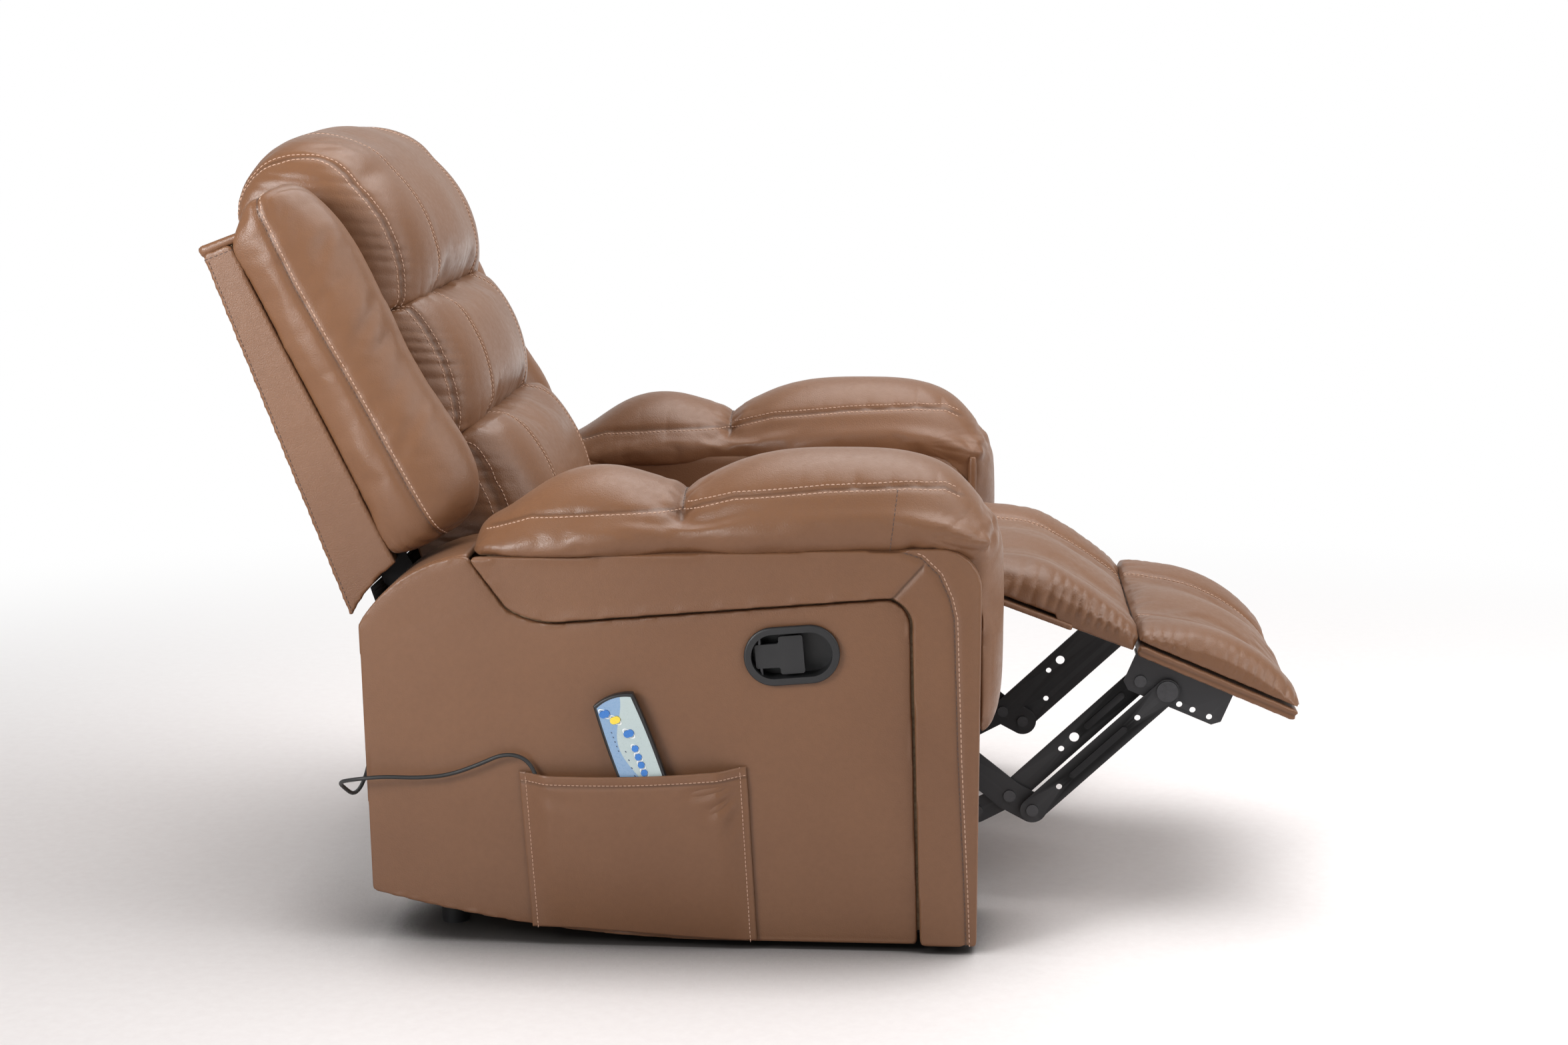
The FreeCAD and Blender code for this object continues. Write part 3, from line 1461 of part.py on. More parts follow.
def key_blocks(gap, depth):
    """All keys or, with a gap, their wells, from above the face sheet inwards."""
    y = remote_front - key_proud
    blocks = []
    for down_share, across_share in key_down_shares:
        blocks.append(oval(across_share * remote_belly, -down_share * remote_long, gap, y, depth + key_proud))
    for down_share in round_down_shares:
        centre = remote_plane.point(round_across_share * remote_belly, -down_share * remote_long, y)
        blocks.append(Part.makeCylinder(key_radius + gap, depth + key_proud, centre, V(0, 1, 0)))
    return blocks


def cord_plug():
    """Strain relief at the lower end of the remote."""
    end = V(*cord_route[-1])
    way = end.sub(V(*cord_route[-2]))
    way.normalize()
    return Part.makeCylinder(plug_radius, plug_long, end, way)


def cord_gland():
    """Gland where the remote's cord leaves the rear cover."""
    x = ahead(rear_cover_ahead)
    start = V(*cord_route[0])
    stem = Part.makeCylinder(gland_radius, x + rear_cover_thick - start.x, start, V(1, 0, 0))
    collar = Part.makeCylinder(gland_radius + cup_wall, cup_wall, V(x - cup_wall, gland_out, gland_z), V(1, 0, 0))
    return stem.fuse(collar).removeSplitter()


def remote_cord():
    """Round cord along its route, each corner rounded as far as its shorter run allows."""
    points = [V(*place) for place in cord_route]
    edges = []
    here = points[0]
    radii = []
    for place in range(1, len(points) - 1):
        corner = points[place]
        before = points[place - 1].sub(corner)
        after = points[place + 1].sub(corner)
        shorter = min(before.Length, after.Length)
        before.normalize()
        after.normalize()
        half = before.getAngle(after) / 2
        reach = 0.45 * shorter
        turn = reach * math.tan(half)
        radii.append(turn)
        start = corner + V(before).multiply(reach)
        end = corner + V(after).multiply(reach)
        bisector = before + after
        bisector.normalize()
        middle = corner + bisector.multiply(turn / math.sin(half) - turn)
        edges.append(Part.LineSegment(here, start).toShape())
        edges.append(Part.Arc(start, middle, end).toShape())
        here = end
    edges.append(Part.LineSegment(here, points[-1]).toShape())
    path = Part.Wire(edges)
    ring = Part.Wire([Part.Circle(points[0], points[1].sub(points[0]), cord_radius).toShape()])
    shape = path.makePipeShell([ring], True, True)
    share = shape.Volume / (math.pi * cord_radius ** 2 * path.Length)
    print("remote cord", round(path.Length), "radii", [round(r) for r in radii], "volume share", round(share, 3))
    return shape


os.makedirs("parts", exist_ok=True)

panel = side_panel()
cup_hole = stadium(bezel_long - 2 * bezel_flange + 2 * cup_wall, bezel_high - 2 * bezel_flange + 2 * cup_wall,
                   -panel_face - bezel_proud, -panel_face + cup_depth)
inner_panel = arm_inner_panel()
frame = arm_frame()
pad = arm_pad()

save("left_side_panel", panel)
save("right_side_panel", mirrored(panel).cut(cup_hole))
save("arm_borders", both(arm_border()))
save("arm_inners", Part.makeCompound([inner_panel, cable_hole(mirrored(inner_panel))]))
save("arm_frames", Part.makeCompound([frame, cable_hole(mirrored(frame)).cut(cup_hole)]))
save("arm_ends", Part.makeCompound([both(arm_front()), both(arm_rear_strip())]))
save("left_arm_pad", pad)
save("right_arm_pad", mirrored(pad))
save("front_pads", both(arm_front_pad()))
save("feet", feet())
save("cross_rails", cross_rails())
save("rear_cover", rear_cover())
save("rear_skirt", rear_skirt())
save("control_box", Part.makeCompound([control_box(), power_inlet()]))
save("seat_rails", Part.makeCompound([seat_side_rails(), seat_cross_rails(), motor_board()]))
save("seat_springs", seat_springs())
save("seat_cushion", seat_cushion())
save("seat_motors", seat_motors())
save("mechanism_plates", both(mechanism_plate()))
save("pivot_pins", Part.makeCompound([mechanism_rivets(), back_pins(), latch_pin(), handle_pin()]))
save("lift_links", both(lift_link()))
save("lift_rivets", lift_rivets())
save("upper_links", both(upper_link()))
save("upper_rivets", upper_rivets())
save("lower_links", both(lower_link()))
save("idlers", both(idler()))
save("footrest_brackets", both(footrest_bracket()))
save("footrest_rivets", footrest_rivets())
save("footrest_board", footrest_board())
save("footrest_pad", footrest_pad())
save("footrest_motors", footrest_motors())
save("calf_board", calf_board())
save("calf_pad", calf_pad())
save("back_panels", Part.makeCompound([back_rear_panel(), both(back_side_panel())]))
save("back_frame", back_frame())
save("back_webbing", back_webbing())
save("back_motors", back_motors())
save("heating_pad", heating_pad())
save("lumbar_pillow", lumbar_pillow())
save("middle_pillow", middle_pillow())
save("headrest_pillow", headrest_pillow())
save("bolsters", both(bolster()))
save("back_brackets", both(back_bracket()))
save("handle_bezel", handle_bezel())
save("handle_paddle", handle_paddle())
save("release_cable", release_cable())
save("release_latch", release_latch())
save("pocket", pocket())
save("remote_shells", Part.makeCompound([remote_rear_shell(), remote_front_shell()]))
save("remote_face", remote_face())
for number, block in enumerate(key_blocks(0, key_depth)):
    save("remote_key_%d" % (number + 1), block)
save("cord_plug", cord_plug())
save("cord_gland", cord_gland())
save("remote_cord", remote_cord())
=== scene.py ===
import math

import bmesh
import bpy
import numpy as np
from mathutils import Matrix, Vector
from mathutils.bvhtree import BVHTree
from mathutils.kdtree import KDTree


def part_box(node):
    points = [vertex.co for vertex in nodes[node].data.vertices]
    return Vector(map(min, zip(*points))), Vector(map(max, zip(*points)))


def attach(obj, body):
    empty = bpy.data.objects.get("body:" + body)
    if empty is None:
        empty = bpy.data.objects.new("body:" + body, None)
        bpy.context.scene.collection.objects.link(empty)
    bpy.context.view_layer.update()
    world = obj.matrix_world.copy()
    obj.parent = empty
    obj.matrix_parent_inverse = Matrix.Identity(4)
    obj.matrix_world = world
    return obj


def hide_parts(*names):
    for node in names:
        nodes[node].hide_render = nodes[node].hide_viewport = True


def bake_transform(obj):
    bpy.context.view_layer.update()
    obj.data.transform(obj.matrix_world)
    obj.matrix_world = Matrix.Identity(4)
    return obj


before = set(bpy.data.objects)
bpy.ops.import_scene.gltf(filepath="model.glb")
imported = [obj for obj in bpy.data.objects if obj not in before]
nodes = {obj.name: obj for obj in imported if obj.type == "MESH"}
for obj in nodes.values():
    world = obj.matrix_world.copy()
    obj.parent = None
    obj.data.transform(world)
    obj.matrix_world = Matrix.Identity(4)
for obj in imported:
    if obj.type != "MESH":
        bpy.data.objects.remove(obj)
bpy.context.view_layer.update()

MM = 0.001
REAR_X = -501  # rear edge of the arms, in mm
SEAM_OUT = 140  # seams of the cushions from the middle of the chair, in mm


def ahead(distance):
    """x in metres of a place in mm forward of the rear edge of the arms."""
    return (REAR_X + distance) * MM


class Slope:
    """Tilted plane seen from the side, sizes in mm and places in metres."""

    def __init__(self, x, z, degrees):
        self.x, self.z = x, z
        self.cos, self.sin = math.cos(math.radians(degrees)), math.sin(math.radians(degrees))
        self.forward = np.array([self.cos, 0, self.sin])
        self.upward = np.array([-self.sin, 0, self.cos])

    def point(self, along, up, y=0):
        return np.array([self.x + along * self.cos - up * self.sin, y,
                         self.z + along * self.sin + up * self.cos]) * MM

    def along(self, co):
        return (co[:, 0] / MM - self.x) * self.cos + (co[:, 2] / MM - self.z) * self.sin

    def up(self, co):
        return -(co[:, 0] / MM - self.x) * self.sin + (co[:, 2] / MM - self.z) * self.cos


back = Slope(-344, 319, 20.7)
leg = Slope(477, 342, -22.5)
calf = Slope(288, 411, -20)


# Meshes


def read(items, key, width=1, kind=np.float64):
    """One value, or a row of values, of each item of a mesh."""
    out = np.empty(len(items) * width, kind)
    items.foreach_get(key, out)
    return out.reshape(-1, width) if width > 1 else out


def spots(obj):
    return read(obj.data.vertices, "co", 3)


def directions(obj):
    return read(obj.data.vertex_normals, "vector", 3)


def place(obj, co):
    obj.data.vertices.foreach_set("co", np.ascontiguousarray(co, dtype=np.float32).ravel())
    obj.data.update()


def push(obj, amount):
    """Moves each point along its normal by an amount in mm."""
    place(obj, spots(obj) + directions(obj) * (amount * MM)[:, None])


def show(name, data):
    obj = bpy.data.objects.new(name, data)
    bpy.context.scene.collection.objects.link(obj)
    return obj


def shade_smooth(mesh):
    mesh.polygons.foreach_set("use_smooth", [True] * len(mesh.polygons))


def new_object(name, verts, faces, smooth=True):
    mesh = bpy.data.meshes.new(name)
    mesh.from_pydata([tuple(v) for v in verts], [], [tuple(f) for f in faces])
    mesh.validate()
    if smooth:
        shade_smooth(mesh)
    return show(name, mesh)


def quads(rows, columns, closed=False):
    """Faces between rows of points; closed joins the two ends of each row."""
    faces = []
    for j in range(rows - 1):
        for i in range(columns if closed else columns - 1):
            n = (i + 1) % columns
            faces.append((j * columns + i, j * columns + n, (j + 1) * columns + n, (j + 1) * columns + i))
    return faces


def islands(node):
    """The separate solids of a CAD node as (points, faces), the sitter's right first."""
    bm = bmesh.new()
    bm.from_mesh(nodes[node].data)
    bmesh.ops.remove_doubles(bm, verts=bm.verts, dist=2e-5)
    bm.verts.index_update()
    seen = set()
    found = []
    for start in bm.verts:
        if start.index in seen:
            continue
        seen.add(start.index)
        group, stack = [], [start]
        while stack:
            v = stack.pop()
            group.append(v)
            for e in v.link_edges:
                w = e.other_vert(v)
                if w.index not in seen:
                    seen.add(w.index)
                    stack.append(w)
        number = {v.index: k for k, v in enumerate(group)}
        faces = {f.index: [number[v.index] for v in f.verts] for v in group for f in v.link_faces}
        found.append((np.array([v.co for v in group]), list(faces.values())))
    bm.free()
    return sorted(found, key=lambda s: (round(s[0][:, 1].mean(), 3), s[0][:, 0].mean()))


def settle(obj):
    """Applies the modifiers."""
    graph = bpy.context.evaluated_depsgraph_get()
    mesh = bpy.data.meshes.new_from_object(obj.evaluated_get(graph), preserve_all_data_layers=True,
                                           depsgraph=graph)
    old = obj.data
    obj.modifiers.clear()
    obj.data = mesh
    bpy.data.meshes.remove(old)
    mesh.name = obj.name


def smoother(obj, rounds):
    """Smoothing of a mesh, still to be applied."""
    m = obj.modifiers.new("smooth", "SMOOTH")
    m.factor = 0.5
    m.iterations = rounds


def remesh(obj, size, smoothing):
    """Gives the mesh one even skin, with faces of a size in mm."""
    m = obj.modifiers.new("skin", "REMESH")
    m.mode = "VOXEL"
    m.voxel_size = size * MM
    m.use_smooth_shade = True
    smoother(obj, smoothing)
    settle(obj)


def subdivide(obj):
    m = obj.modifiers.new("finer", "SUBSURF")
    m.levels = 1
    m.render_levels = 1
    settle(obj)
    shade_smooth(obj.data)


def soft_copy(name, solids, size, smoothing=4, inset=0):
    """One closed mesh over CAD solids, remeshed and rounded."""
    verts, faces = [], []
    for co, fs in solids:
        start = len(verts)
        verts += list(co)
        faces += [[i + start for i in f] for f in fs]
    obj = new_object(name, verts, faces)
    remesh(obj, size, smoothing)
    if inset:
        push(obj, np.full(len(obj.data.vertices), -inset))
    return obj


def slim(obj, way, amount, where=1):
    """Draws the faces that look along a way back by an amount in mm."""
    facing = np.clip(directions(obj) @ np.array(way), 0, 1) * where
    place(obj, spots(obj) - np.outer(facing * amount * MM, way))


def swell(obj, cap, held, pressure=4, looser=0):
    """Blows the cover up with cloth, by cap mm at most; points that are held stay."""
    frames, relax = 12, 6
    scene = bpy.context.scene
    rest = spots(obj)
    cloth = obj.modifiers.new("Cloth", "CLOTH")
    s = cloth.settings
    s.quality = 4
    s.mass = 0.3
    s.tension_stiffness = 18
    s.compression_stiffness = 18
    s.shear_stiffness = 8
    s.bending_stiffness = 0.6
    s.air_damping = 3
    s.use_pressure = True
    s.uniform_pressure_force = pressure
    s.effector_weights.gravity = 0
    s.shrink_min = -looser
    cloth.collision_settings.use_collision = False
    group = obj.vertex_groups.new(name="held")
    group.add([int(i) for i in np.nonzero(held)[0]], 1, "REPLACE")
    s.vertex_group_mass = "held"
    cloth.point_cache.frame_start = 1
    cloth.point_cache.frame_end = frames
    for f in range(1, frames + 1):
        scene.frame_set(f)
    settle(obj)
    scene.frame_set(1)
    obj.vertex_groups.clear()
    move = spots(obj) - rest
    far = np.linalg.norm(move, axis=1)
    limit = cap * MM
    scale = np.where(far > 1e-9, limit * np.tanh(far / limit) / np.maximum(far, 1e-9), 1)
    place(obj, rest + move * scale[:, None])
    smoother(obj, relax)
    settle(obj)


# Sewing


def paint_seam_shade(obj, values):
    """Writes painted shade into the seams: how deep in a seam each point lies, which darkens the leather's
    colour there.
    """
    a = obj.data.attributes.get("seam") or obj.data.attributes.new("seam", "FLOAT", "POINT")
    old = np.zeros(len(obj.data.vertices), np.float32)
    a.data.foreach_get("value", old)
    a.data.foreach_set("value", np.maximum(old, values).astype(np.float32))


def wobble(s, seed):
    """Smooth uneven wave of about one, made of seeded sines."""
    r = np.random.RandomState(seed)
    out = np.zeros_like(s)
    for k in range(4):
        out += np.sin(s * (0.6 + 0.9 * k) * r.uniform(0.8, 1.2) + r.uniform(0, 6.28)) / (1 + k)
    return out / 1.6


def ramp(a, b, x):
    """Smooth rise from 0 at a to 1 at b; it falls where b is the smaller."""
    t = np.clip((x - a) / (b - a), 0, 1)
    return t * t * (3 - 2 * t)


def beside(a, b, line):
    """Signed distance of the places (a, b) from a line of points in the same plane."""
    best, signed = np.full(a.shape, np.inf), np.zeros(a.shape)
    for (a0, b0), (a1, b1) in zip(line, line[1:]):
        da, db = a1 - a0, b1 - b0
        t = np.clip(((a - a0) * da + (b - b0) * db) / (da * da + db * db), 0, 1)
        far = np.hypot(a - a0 - t * da, b - b0 - t * db)
        side = np.where((a - a0) * db - (b - b0) * da < 0, -1, 1)
        signed = np.where(far < best, far * side, signed)
        best = np.minimum(best, far)
    return signed


def groove(obj, far, depth, half, mask=1, dark=0.5):
    """Sinks the cover along a seam and paints shade into it; far is each point's distance to it in mm, dark
    is how strong the painted shade is.
    """
    push(obj, -depth * np.exp(-(far / half) ** 2) * mask)
    paint_seam_shade(obj, dark * np.exp(-(far / 1.7) ** 2) * mask)


def pucker(obj, far, along, pitch, depth, reach, seed, mask=1):
    """Small gathers that run square to a seam and fade away from it."""
    phase = along / pitch + 0.55 * wobble(along / (pitch * 2.4), seed)
    wave = np.abs(np.sin(math.pi * phase)) ** 0.7 - 0.62
    strength = 0.55 + 0.45 * wobble(along / (pitch * 1.3), seed + 9)
    length = reach * (0.7 + 0.3 * wobble(along / (pitch * 0.9), seed + 5))
    near = np.exp(-np.abs(far) / np.maximum(length, 1))
    push(obj, depth * wave * np.clip(strength, 0.1, 1.3) * near * mask)


def fold(obj, start, end, width, depth):
    """One soft crease between two places, with a low ridge on each side."""
    co = spots(obj) / MM
    a, b = np.array(start, float), np.array(end, float)
    d = b - a
    t = np.clip(((co - a) @ d) / (d @ d), 0, 1)
    far = np.linalg.norm(co - a - t[:, None] * d, axis=1)
    taper = np.sin(math.pi * np.clip(t * 0.86 + 0.07, 0, 1)) ** 0.6
    shape = -np.exp(-(far / width) ** 2) + 0.45 * np.exp(-((far - 1.9 * width) / width) ** 2)
    push(obj, depth * shape * taper)


def level_runs(obj, values, keep=None):
    """Runs of points where values pass zero on the mesh, the longest first."""
    mesh = obj.data
    co = spots(obj)
    edges = read(mesh.edges, "vertices", 2, np.int32)
    a, b = values[edges[:, 0]], values[edges[:, 1]]
    hit = (a < 0) != (b < 0)
    index = np.nonzero(hit)[0]
    if not len(index):
        return []
    t = a[index] / (a[index] - b[index])
    points = co[edges[index, 0]] + (co[edges[index, 1]] - co[edges[index, 0]]) * t[:, None]
    good = keep(points) if keep is not None else np.ones(len(points), bool)
    number = np.full(len(edges), -1)
    number[index[good]] = np.nonzero(good)[0]
    loop_edges = read(mesh.loops, "edge_index", kind=np.int32)
    totals = read(mesh.polygons, "loop_total", kind=np.int32)
    owner = np.repeat(np.arange(len(totals)), totals)
    chosen = np.nonzero(number[loop_edges] >= 0)[0]
    links = {}
    for i in range(len(chosen) - 1):
        if owner[chosen[i]] == owner[chosen[i + 1]]:
            p, q = int(number[loop_edges[chosen[i]]]), int(number[loop_edges[chosen[i + 1]]])
            links.setdefault(p, []).append(q)
            links.setdefault(q, []).append(p)
    runs, used = [], set()
    for start in sorted(links, key=lambda k: len(links[k])):
        if start in used:
            continue
        run, here = [start], start
        used.add(start)
        while True:
            onward = [q for q in links[here] if q not in used]
            if not onward:
                break
            here = onward[0]
            used.add(here)
            run.append(here)
        if len(run) > 3:
            runs.append(points[run])
    return sorted(runs, key=lambda r: -np.linalg.norm(np.diff(r, axis=0), axis=1).sum())


def evenly(run, step):
    """Points and directions at even steps along a run."""
    gaps = np.linalg.norm(np.diff(run, axis=0), axis=1)
    s = np.concatenate([[0], np.cumsum(gaps)])
    n = max(1, int(s[-1] / step))
    at = (np.arange(n) + 0.5) * s[-1] / n
    nearby = 0.4 * step
    spot = lambda where: np.stack([np.interp(where, s, run[:, k]) for k in range(3)], 1)
    way = spot(at + nearby) - spot(at - nearby)
    return spot(at), way / np.maximum(np.linalg.norm(way, axis=1), 1e-9)[:, None]


def thread_form():
    """One stitch of unit length: (along, across, up) points and faces of a short arched thread."""
    rings, sides = 5, 6
    verts = []
    for i in range(rings):
        u = -0.5 + i / (rings - 1)
        size = (0.45, 0.95, 1, 0.95, 0.45)[i]
        rise = 0.55 * (1 - (2 * u) ** 2) - 0.25
        for k in range(sides):
            a = 2 * math.pi * k / sides
            verts.append((u, math.cos(a) * size, math.sin(a) * size + rise))
    ends = [tuple(range(sides - 1, -1, -1)), tuple((rings - 1) * sides + k for k in range(sides))]
    return np.array(verts), quads(rings, sides, closed=True) + ends


THREAD = thread_form()


def stitches(name, obj, runs, pitch=6.4, length=4.9, radius=0.78, kind="thread"):
    """Rows of stitches on a cover, following runs of points."""
    graph = bpy.context.evaluated_depsgraph_get()
    tree = BVHTree.FromObject(obj, graph)
    form, form_faces = THREAD
    verts, faces = [], []
    for run in runs:
        pts, ways = evenly(np.asarray(run), pitch * MM)
        for p, w in zip(pts, ways):
            spot, normal, _, far = tree.find_nearest(Vector(p))
            if spot is None or far > 0.02:
                continue
            n = np.array(normal)
            w = w - n * (w @ n)
            size = np.linalg.norm(w)
            if size < 1e-6:
                continue
            w = w / size
            side = np.cross(n, w)
            start = len(verts)
            world = (np.array(spot) + np.outer(form[:, 0] * length * MM, w)
                     + np.outer(form[:, 1] * radius * MM, side) + np.outer(form[:, 2] * radius * MM, n))
            verts += list(world)
            faces += [tuple(i + start for i in f) for f in form_faces]
    if not verts:
        return None
    row = new_object(name, verts, faces)
    wear(row, kind)
    return row


# Materials

materials = {}


def add(tree, kind, links=(), **values):
    """New node with its values, given by input or property, and its links."""
    n = tree.nodes.new(kind)
    for key, value in values.items():
        if key in n.inputs:
            n.inputs[key].default_value = value
        else:
            setattr(n, key, value)
    for source, socket in links:
        tree.links.new(source, n.inputs[socket])
    return n


def shader(name, rough=0.5, metal=0, ior=1.5, sheen=0, coat=0):
    """New material as (tree, surface shader)."""
    mat = bpy.data.materials.new(name)
    mat.use_nodes = True
    tree = mat.node_tree
    tree.nodes.clear()
    weights = {"Sheen Weight": sheen, "Coat Weight": coat}
    bsdf = add(tree, "ShaderNodeBsdfPrincipled", Roughness=rough, Metallic=metal, IOR=ior, **weights)
    add(tree, "ShaderNodeOutputMaterial", [(bsdf.outputs[0], 0)])
    materials[name] = mat
    return tree, bsdf


def coordinates(tree, scale=(1, 1, 1)):
    """Place on the object in metres, stretched by a scale."""
    c = add(tree, "ShaderNodeTexCoord")
    return add(tree, "ShaderNodeMapping", [(c.outputs["Object"], "Vector")], Scale=scale).outputs[0]


def noise(tree, at, scale, detail=3, rough=0.55, distortion=0):
    return add(tree, "ShaderNodeTexNoise", [(at, "Vector")], Scale=scale, Detail=detail, Roughness=rough,
               Distortion=distortion).outputs["Fac"]


def voronoi(tree, at, scale, feature="F1"):
    cells = add(tree, "ShaderNodeTexVoronoi", [(at, "Vector")], feature=feature, Scale=scale)
    return cells.outputs["Distance"]


def spread(tree, value, low, high, from_low=0.3, from_high=0.7, **values):
    """Brings a value from one range into another."""
    ranges = {"From Min": from_low, "From Max": from_high, "To Min": low, "To Max": high}
    return add(tree, "ShaderNodeMapRange", [(value, "Value")], **ranges, **values).outputs[0]


def calculate(tree, operation, a, b=None):
    """Result of an operation on one or two values, each a socket or a number."""
    n = add(tree, "ShaderNodeMath", operation=operation)
    for socket, value in zip(n.inputs, (a, b)):
        if isinstance(value, (int, float)):
            socket.default_value = value
        elif value is not None:
            tree.links.new(value, socket)
    return n.outputs[0]


def mixed(tree, factor, a, b):
    """Colour between two, each a socket or three numbers."""
    m = add(tree, "ShaderNodeMix", data_type="RGBA")
    tree.links.new(factor, m.inputs["Factor"])
    for socket, value in ((m.inputs[6], a), (m.inputs[7], b)):
        if isinstance(value, tuple):
            socket.default_value = (*value, 1)
        else:
            tree.links.new(value, socket)
    return m.outputs[2]


def bump(tree, height, strength, distance, under=None):
    b = add(tree, "ShaderNodeBump", [(height, "Height")], Strength=strength, Distance=distance)
    if under is not None:
        tree.links.new(under, b.inputs["Normal"])
    return b.outputs[0]


def feed(tree, bsdf, colour=None, rough=None, normal=None):
    """Links what a material has worked out to its shader."""
    for name, socket in (("Base Color", colour), ("Roughness", rough), ("Normal", normal)):
        if socket is not None:
            tree.links.new(socket, bsdf.inputs[name])


def tinted(colour, *shares):
    return tuple(c * share for c, share in zip(colour, shares))


def leather(name, light, dark, rough_low, rough_high):
    """Grained leather, with painted shade where it goes into a seam."""
    tree, bsdf = shader(name, 0.45, ior=1.48, sheen=0.06)
    bsdf.inputs["Sheen Roughness"].default_value = 0.4
    bsdf.inputs["Sheen Tint"].default_value = (0.95, 0.82, 0.74, 1)
    at = coordinates(tree)
    broad = noise(tree, at, 5, 3)
    fine = noise(tree, at, 130, 5, 0.6)
    cells = voronoi(tree, at, 560)
    creases = voronoi(tree, at, 240, "DISTANCE_TO_EDGE")
    soft = noise(tree, at, 17, 5, 0.5, 0.8)
    base = mixed(tree, spread(tree, broad, 0, 1, 0.32, 0.68), dark, light)
    speckle = mixed(tree, spread(tree, fine, 0, 0.14), base, tinted(dark, 0.6, 0.58, 0.55))
    # Painted shade: the seam attribute darkens the colour towards a near black brown in the grooves of the
    # seams.
    seam = add(tree, "ShaderNodeAttribute", attribute_name="seam")
    seam_shade = spread(tree, seam.outputs["Fac"], 0, 0.88, 0.05, 1)
    grain = bump(tree, cells, 0.22, 0.0006)
    lines = bump(tree, spread(tree, creases, 0, 1, 0, 0.12), 0.12, 0.0005, grain)
    feed(tree, bsdf, mixed(tree, seam_shade, speckle, tinted(dark, 0.20, 0.19, 0.19)),
         spread(tree, fine, rough_low, rough_high), bump(tree, soft, 0.10, 0.006, lines))


def thread_material(name, a, b):
    tree, bsdf = shader(name, 0.7, sheen=0.3)
    twist = noise(tree, coordinates(tree), 900, 2)
    feed(tree, bsdf, mixed(tree, twist, a, b), normal=bump(tree, twist, 0.5, 0.0003))


def plastic(name, colour, rough, grain=900, depth=0.00025):
    tree, bsdf = shader(name, rough)
    at = coordinates(tree)
    fine = noise(tree, at, grain, 3)
    broad = noise(tree, at, 14, 3)
    paler = tuple(min(1, c * 1.35 + 0.004) for c in colour)
    feed(tree, bsdf, mixed(tree, spread(tree, broad, 0, 1), colour, paler),
         spread(tree, fine, rough - 0.06, rough + 0.08), bump(tree, fine, 0.35, depth))


def painted_steel(name, colour):
    """Sprayed paint, rubbed paler in places and on edges."""
    tree, bsdf = shader(name, 0.42)
    bsdf.inputs["Specular IOR Level"].default_value = 0.16
    at = coordinates(tree)
    peel = noise(tree, at, 420, 3)
    rub = noise(tree, at, 26, 6, 0.65, 1)
    worn = add(tree, "ShaderNodeNewGeometry").outputs["Pointiness"]
    paler = tuple(c * 1.6 + 0.002 for c in colour)
    tint = mixed(tree, spread(tree, rub, 0, 1, 0.45, 0.8), colour, paler)
    edge = mixed(tree, spread(tree, worn, 0, 0.5, 0.53, 0.62), tint, (0.10, 0.10, 0.105))
    feed(tree, bsdf, edge, spread(tree, rub, 0.34, 0.52), bump(tree, peel, 0.18, 0.0003))


def bright_steel(name, a, b):
    tree, bsdf = shader(name, 0.35, metal=1)
    lines = noise(tree, coordinates(tree, (1, 14, 1)), 160, 4)
    feed(tree, bsdf, mixed(tree, lines, a, b), spread(tree, lines, 0.28, 0.5), bump(tree, lines, 0.2, 0.0002))


def wood(name):
    tree, bsdf = shader(name, 0.62)
    rings = noise(tree, coordinates(tree, (1, 9, 9)), 9, 5, 0.6, 1.6)
    pores = noise(tree, coordinates(tree, (2, 60, 60)), 30, 2)
    grain = mixed(tree, spread(tree, rings, 0, 1), (0.38, 0.24, 0.13), (0.62, 0.45, 0.27))
    feed(tree, bsdf, mixed(tree, spread(tree, pores, 0, 0.35, 0.5, 0.8), grain, (0.22, 0.13, 0.07)),
         spread(tree, rings, 0.5, 0.72), bump(tree, pores, 0.3, 0.0005))


def woven(name, a, b, count, rough=0.9):
    """Cloth of crossing yarns, count to the metre."""
    tree, bsdf = shader(name, rough, sheen=0.25)
    bsdf.inputs["Sheen Roughness"].default_value = 0.6
    c = add(tree, "ShaderNodeTexCoord").outputs["Object"]
    part = add(tree, "ShaderNodeSeparateXYZ", [(c, "Vector")])
    height = noise(tree, c, 300, 4)
    for axis in ("X", "Y", "Z"):
        turn = calculate(tree, "MULTIPLY", part.outputs[axis], count * 2 * math.pi)
        height = calculate(tree, "ADD", height, calculate(tree, "SINE", turn))
    feed(tree, bsdf, mixed(tree, spread(tree, height, 0, 1, -1.5, 2.2), a, b),
         normal=bump(tree, height, 0.4, 0.0006))


REMOTE_LEAN = math.radians(19.7)  # of the remote in its pocket


def face_sheet(name):
    """Printed face of the remote: a pale field with a bluer wave along one side."""
    tree, bsdf = shader(name, 0.32, coat=0.2)
    c = add(tree, "ShaderNodeTexCoord").outputs["Object"]
    part = add(tree, "ShaderNodeSeparateXYZ", [(c, "Vector")])
    across = calculate(tree, "ADD", calculate(tree, "MULTIPLY", part.outputs["X"], math.cos(REMOTE_LEAN)),
                       calculate(tree, "MULTIPLY", part.outputs["Z"], math.sin(REMOTE_LEAN)))
    wave = calculate(tree, "SINE", calculate(tree, "MULTIPLY", part.outputs["Z"], -42))
    edge = calculate(tree, "ADD", across, calculate(tree, "MULTIPLY", wave, 0.012))
    speck = noise(tree, c, 600, 2)
    two = mixed(tree, spread(tree, edge, 0, 1, -0.0625, -0.0615), (0.22, 0.36, 0.56), (0.47, 0.56, 0.56))
    feed(tree, bsdf, mixed(tree, spread(tree, speck, 0, 0.08), two, (0.75, 0.8, 0.8)),
         spread(tree, speck, 0.26, 0.38))


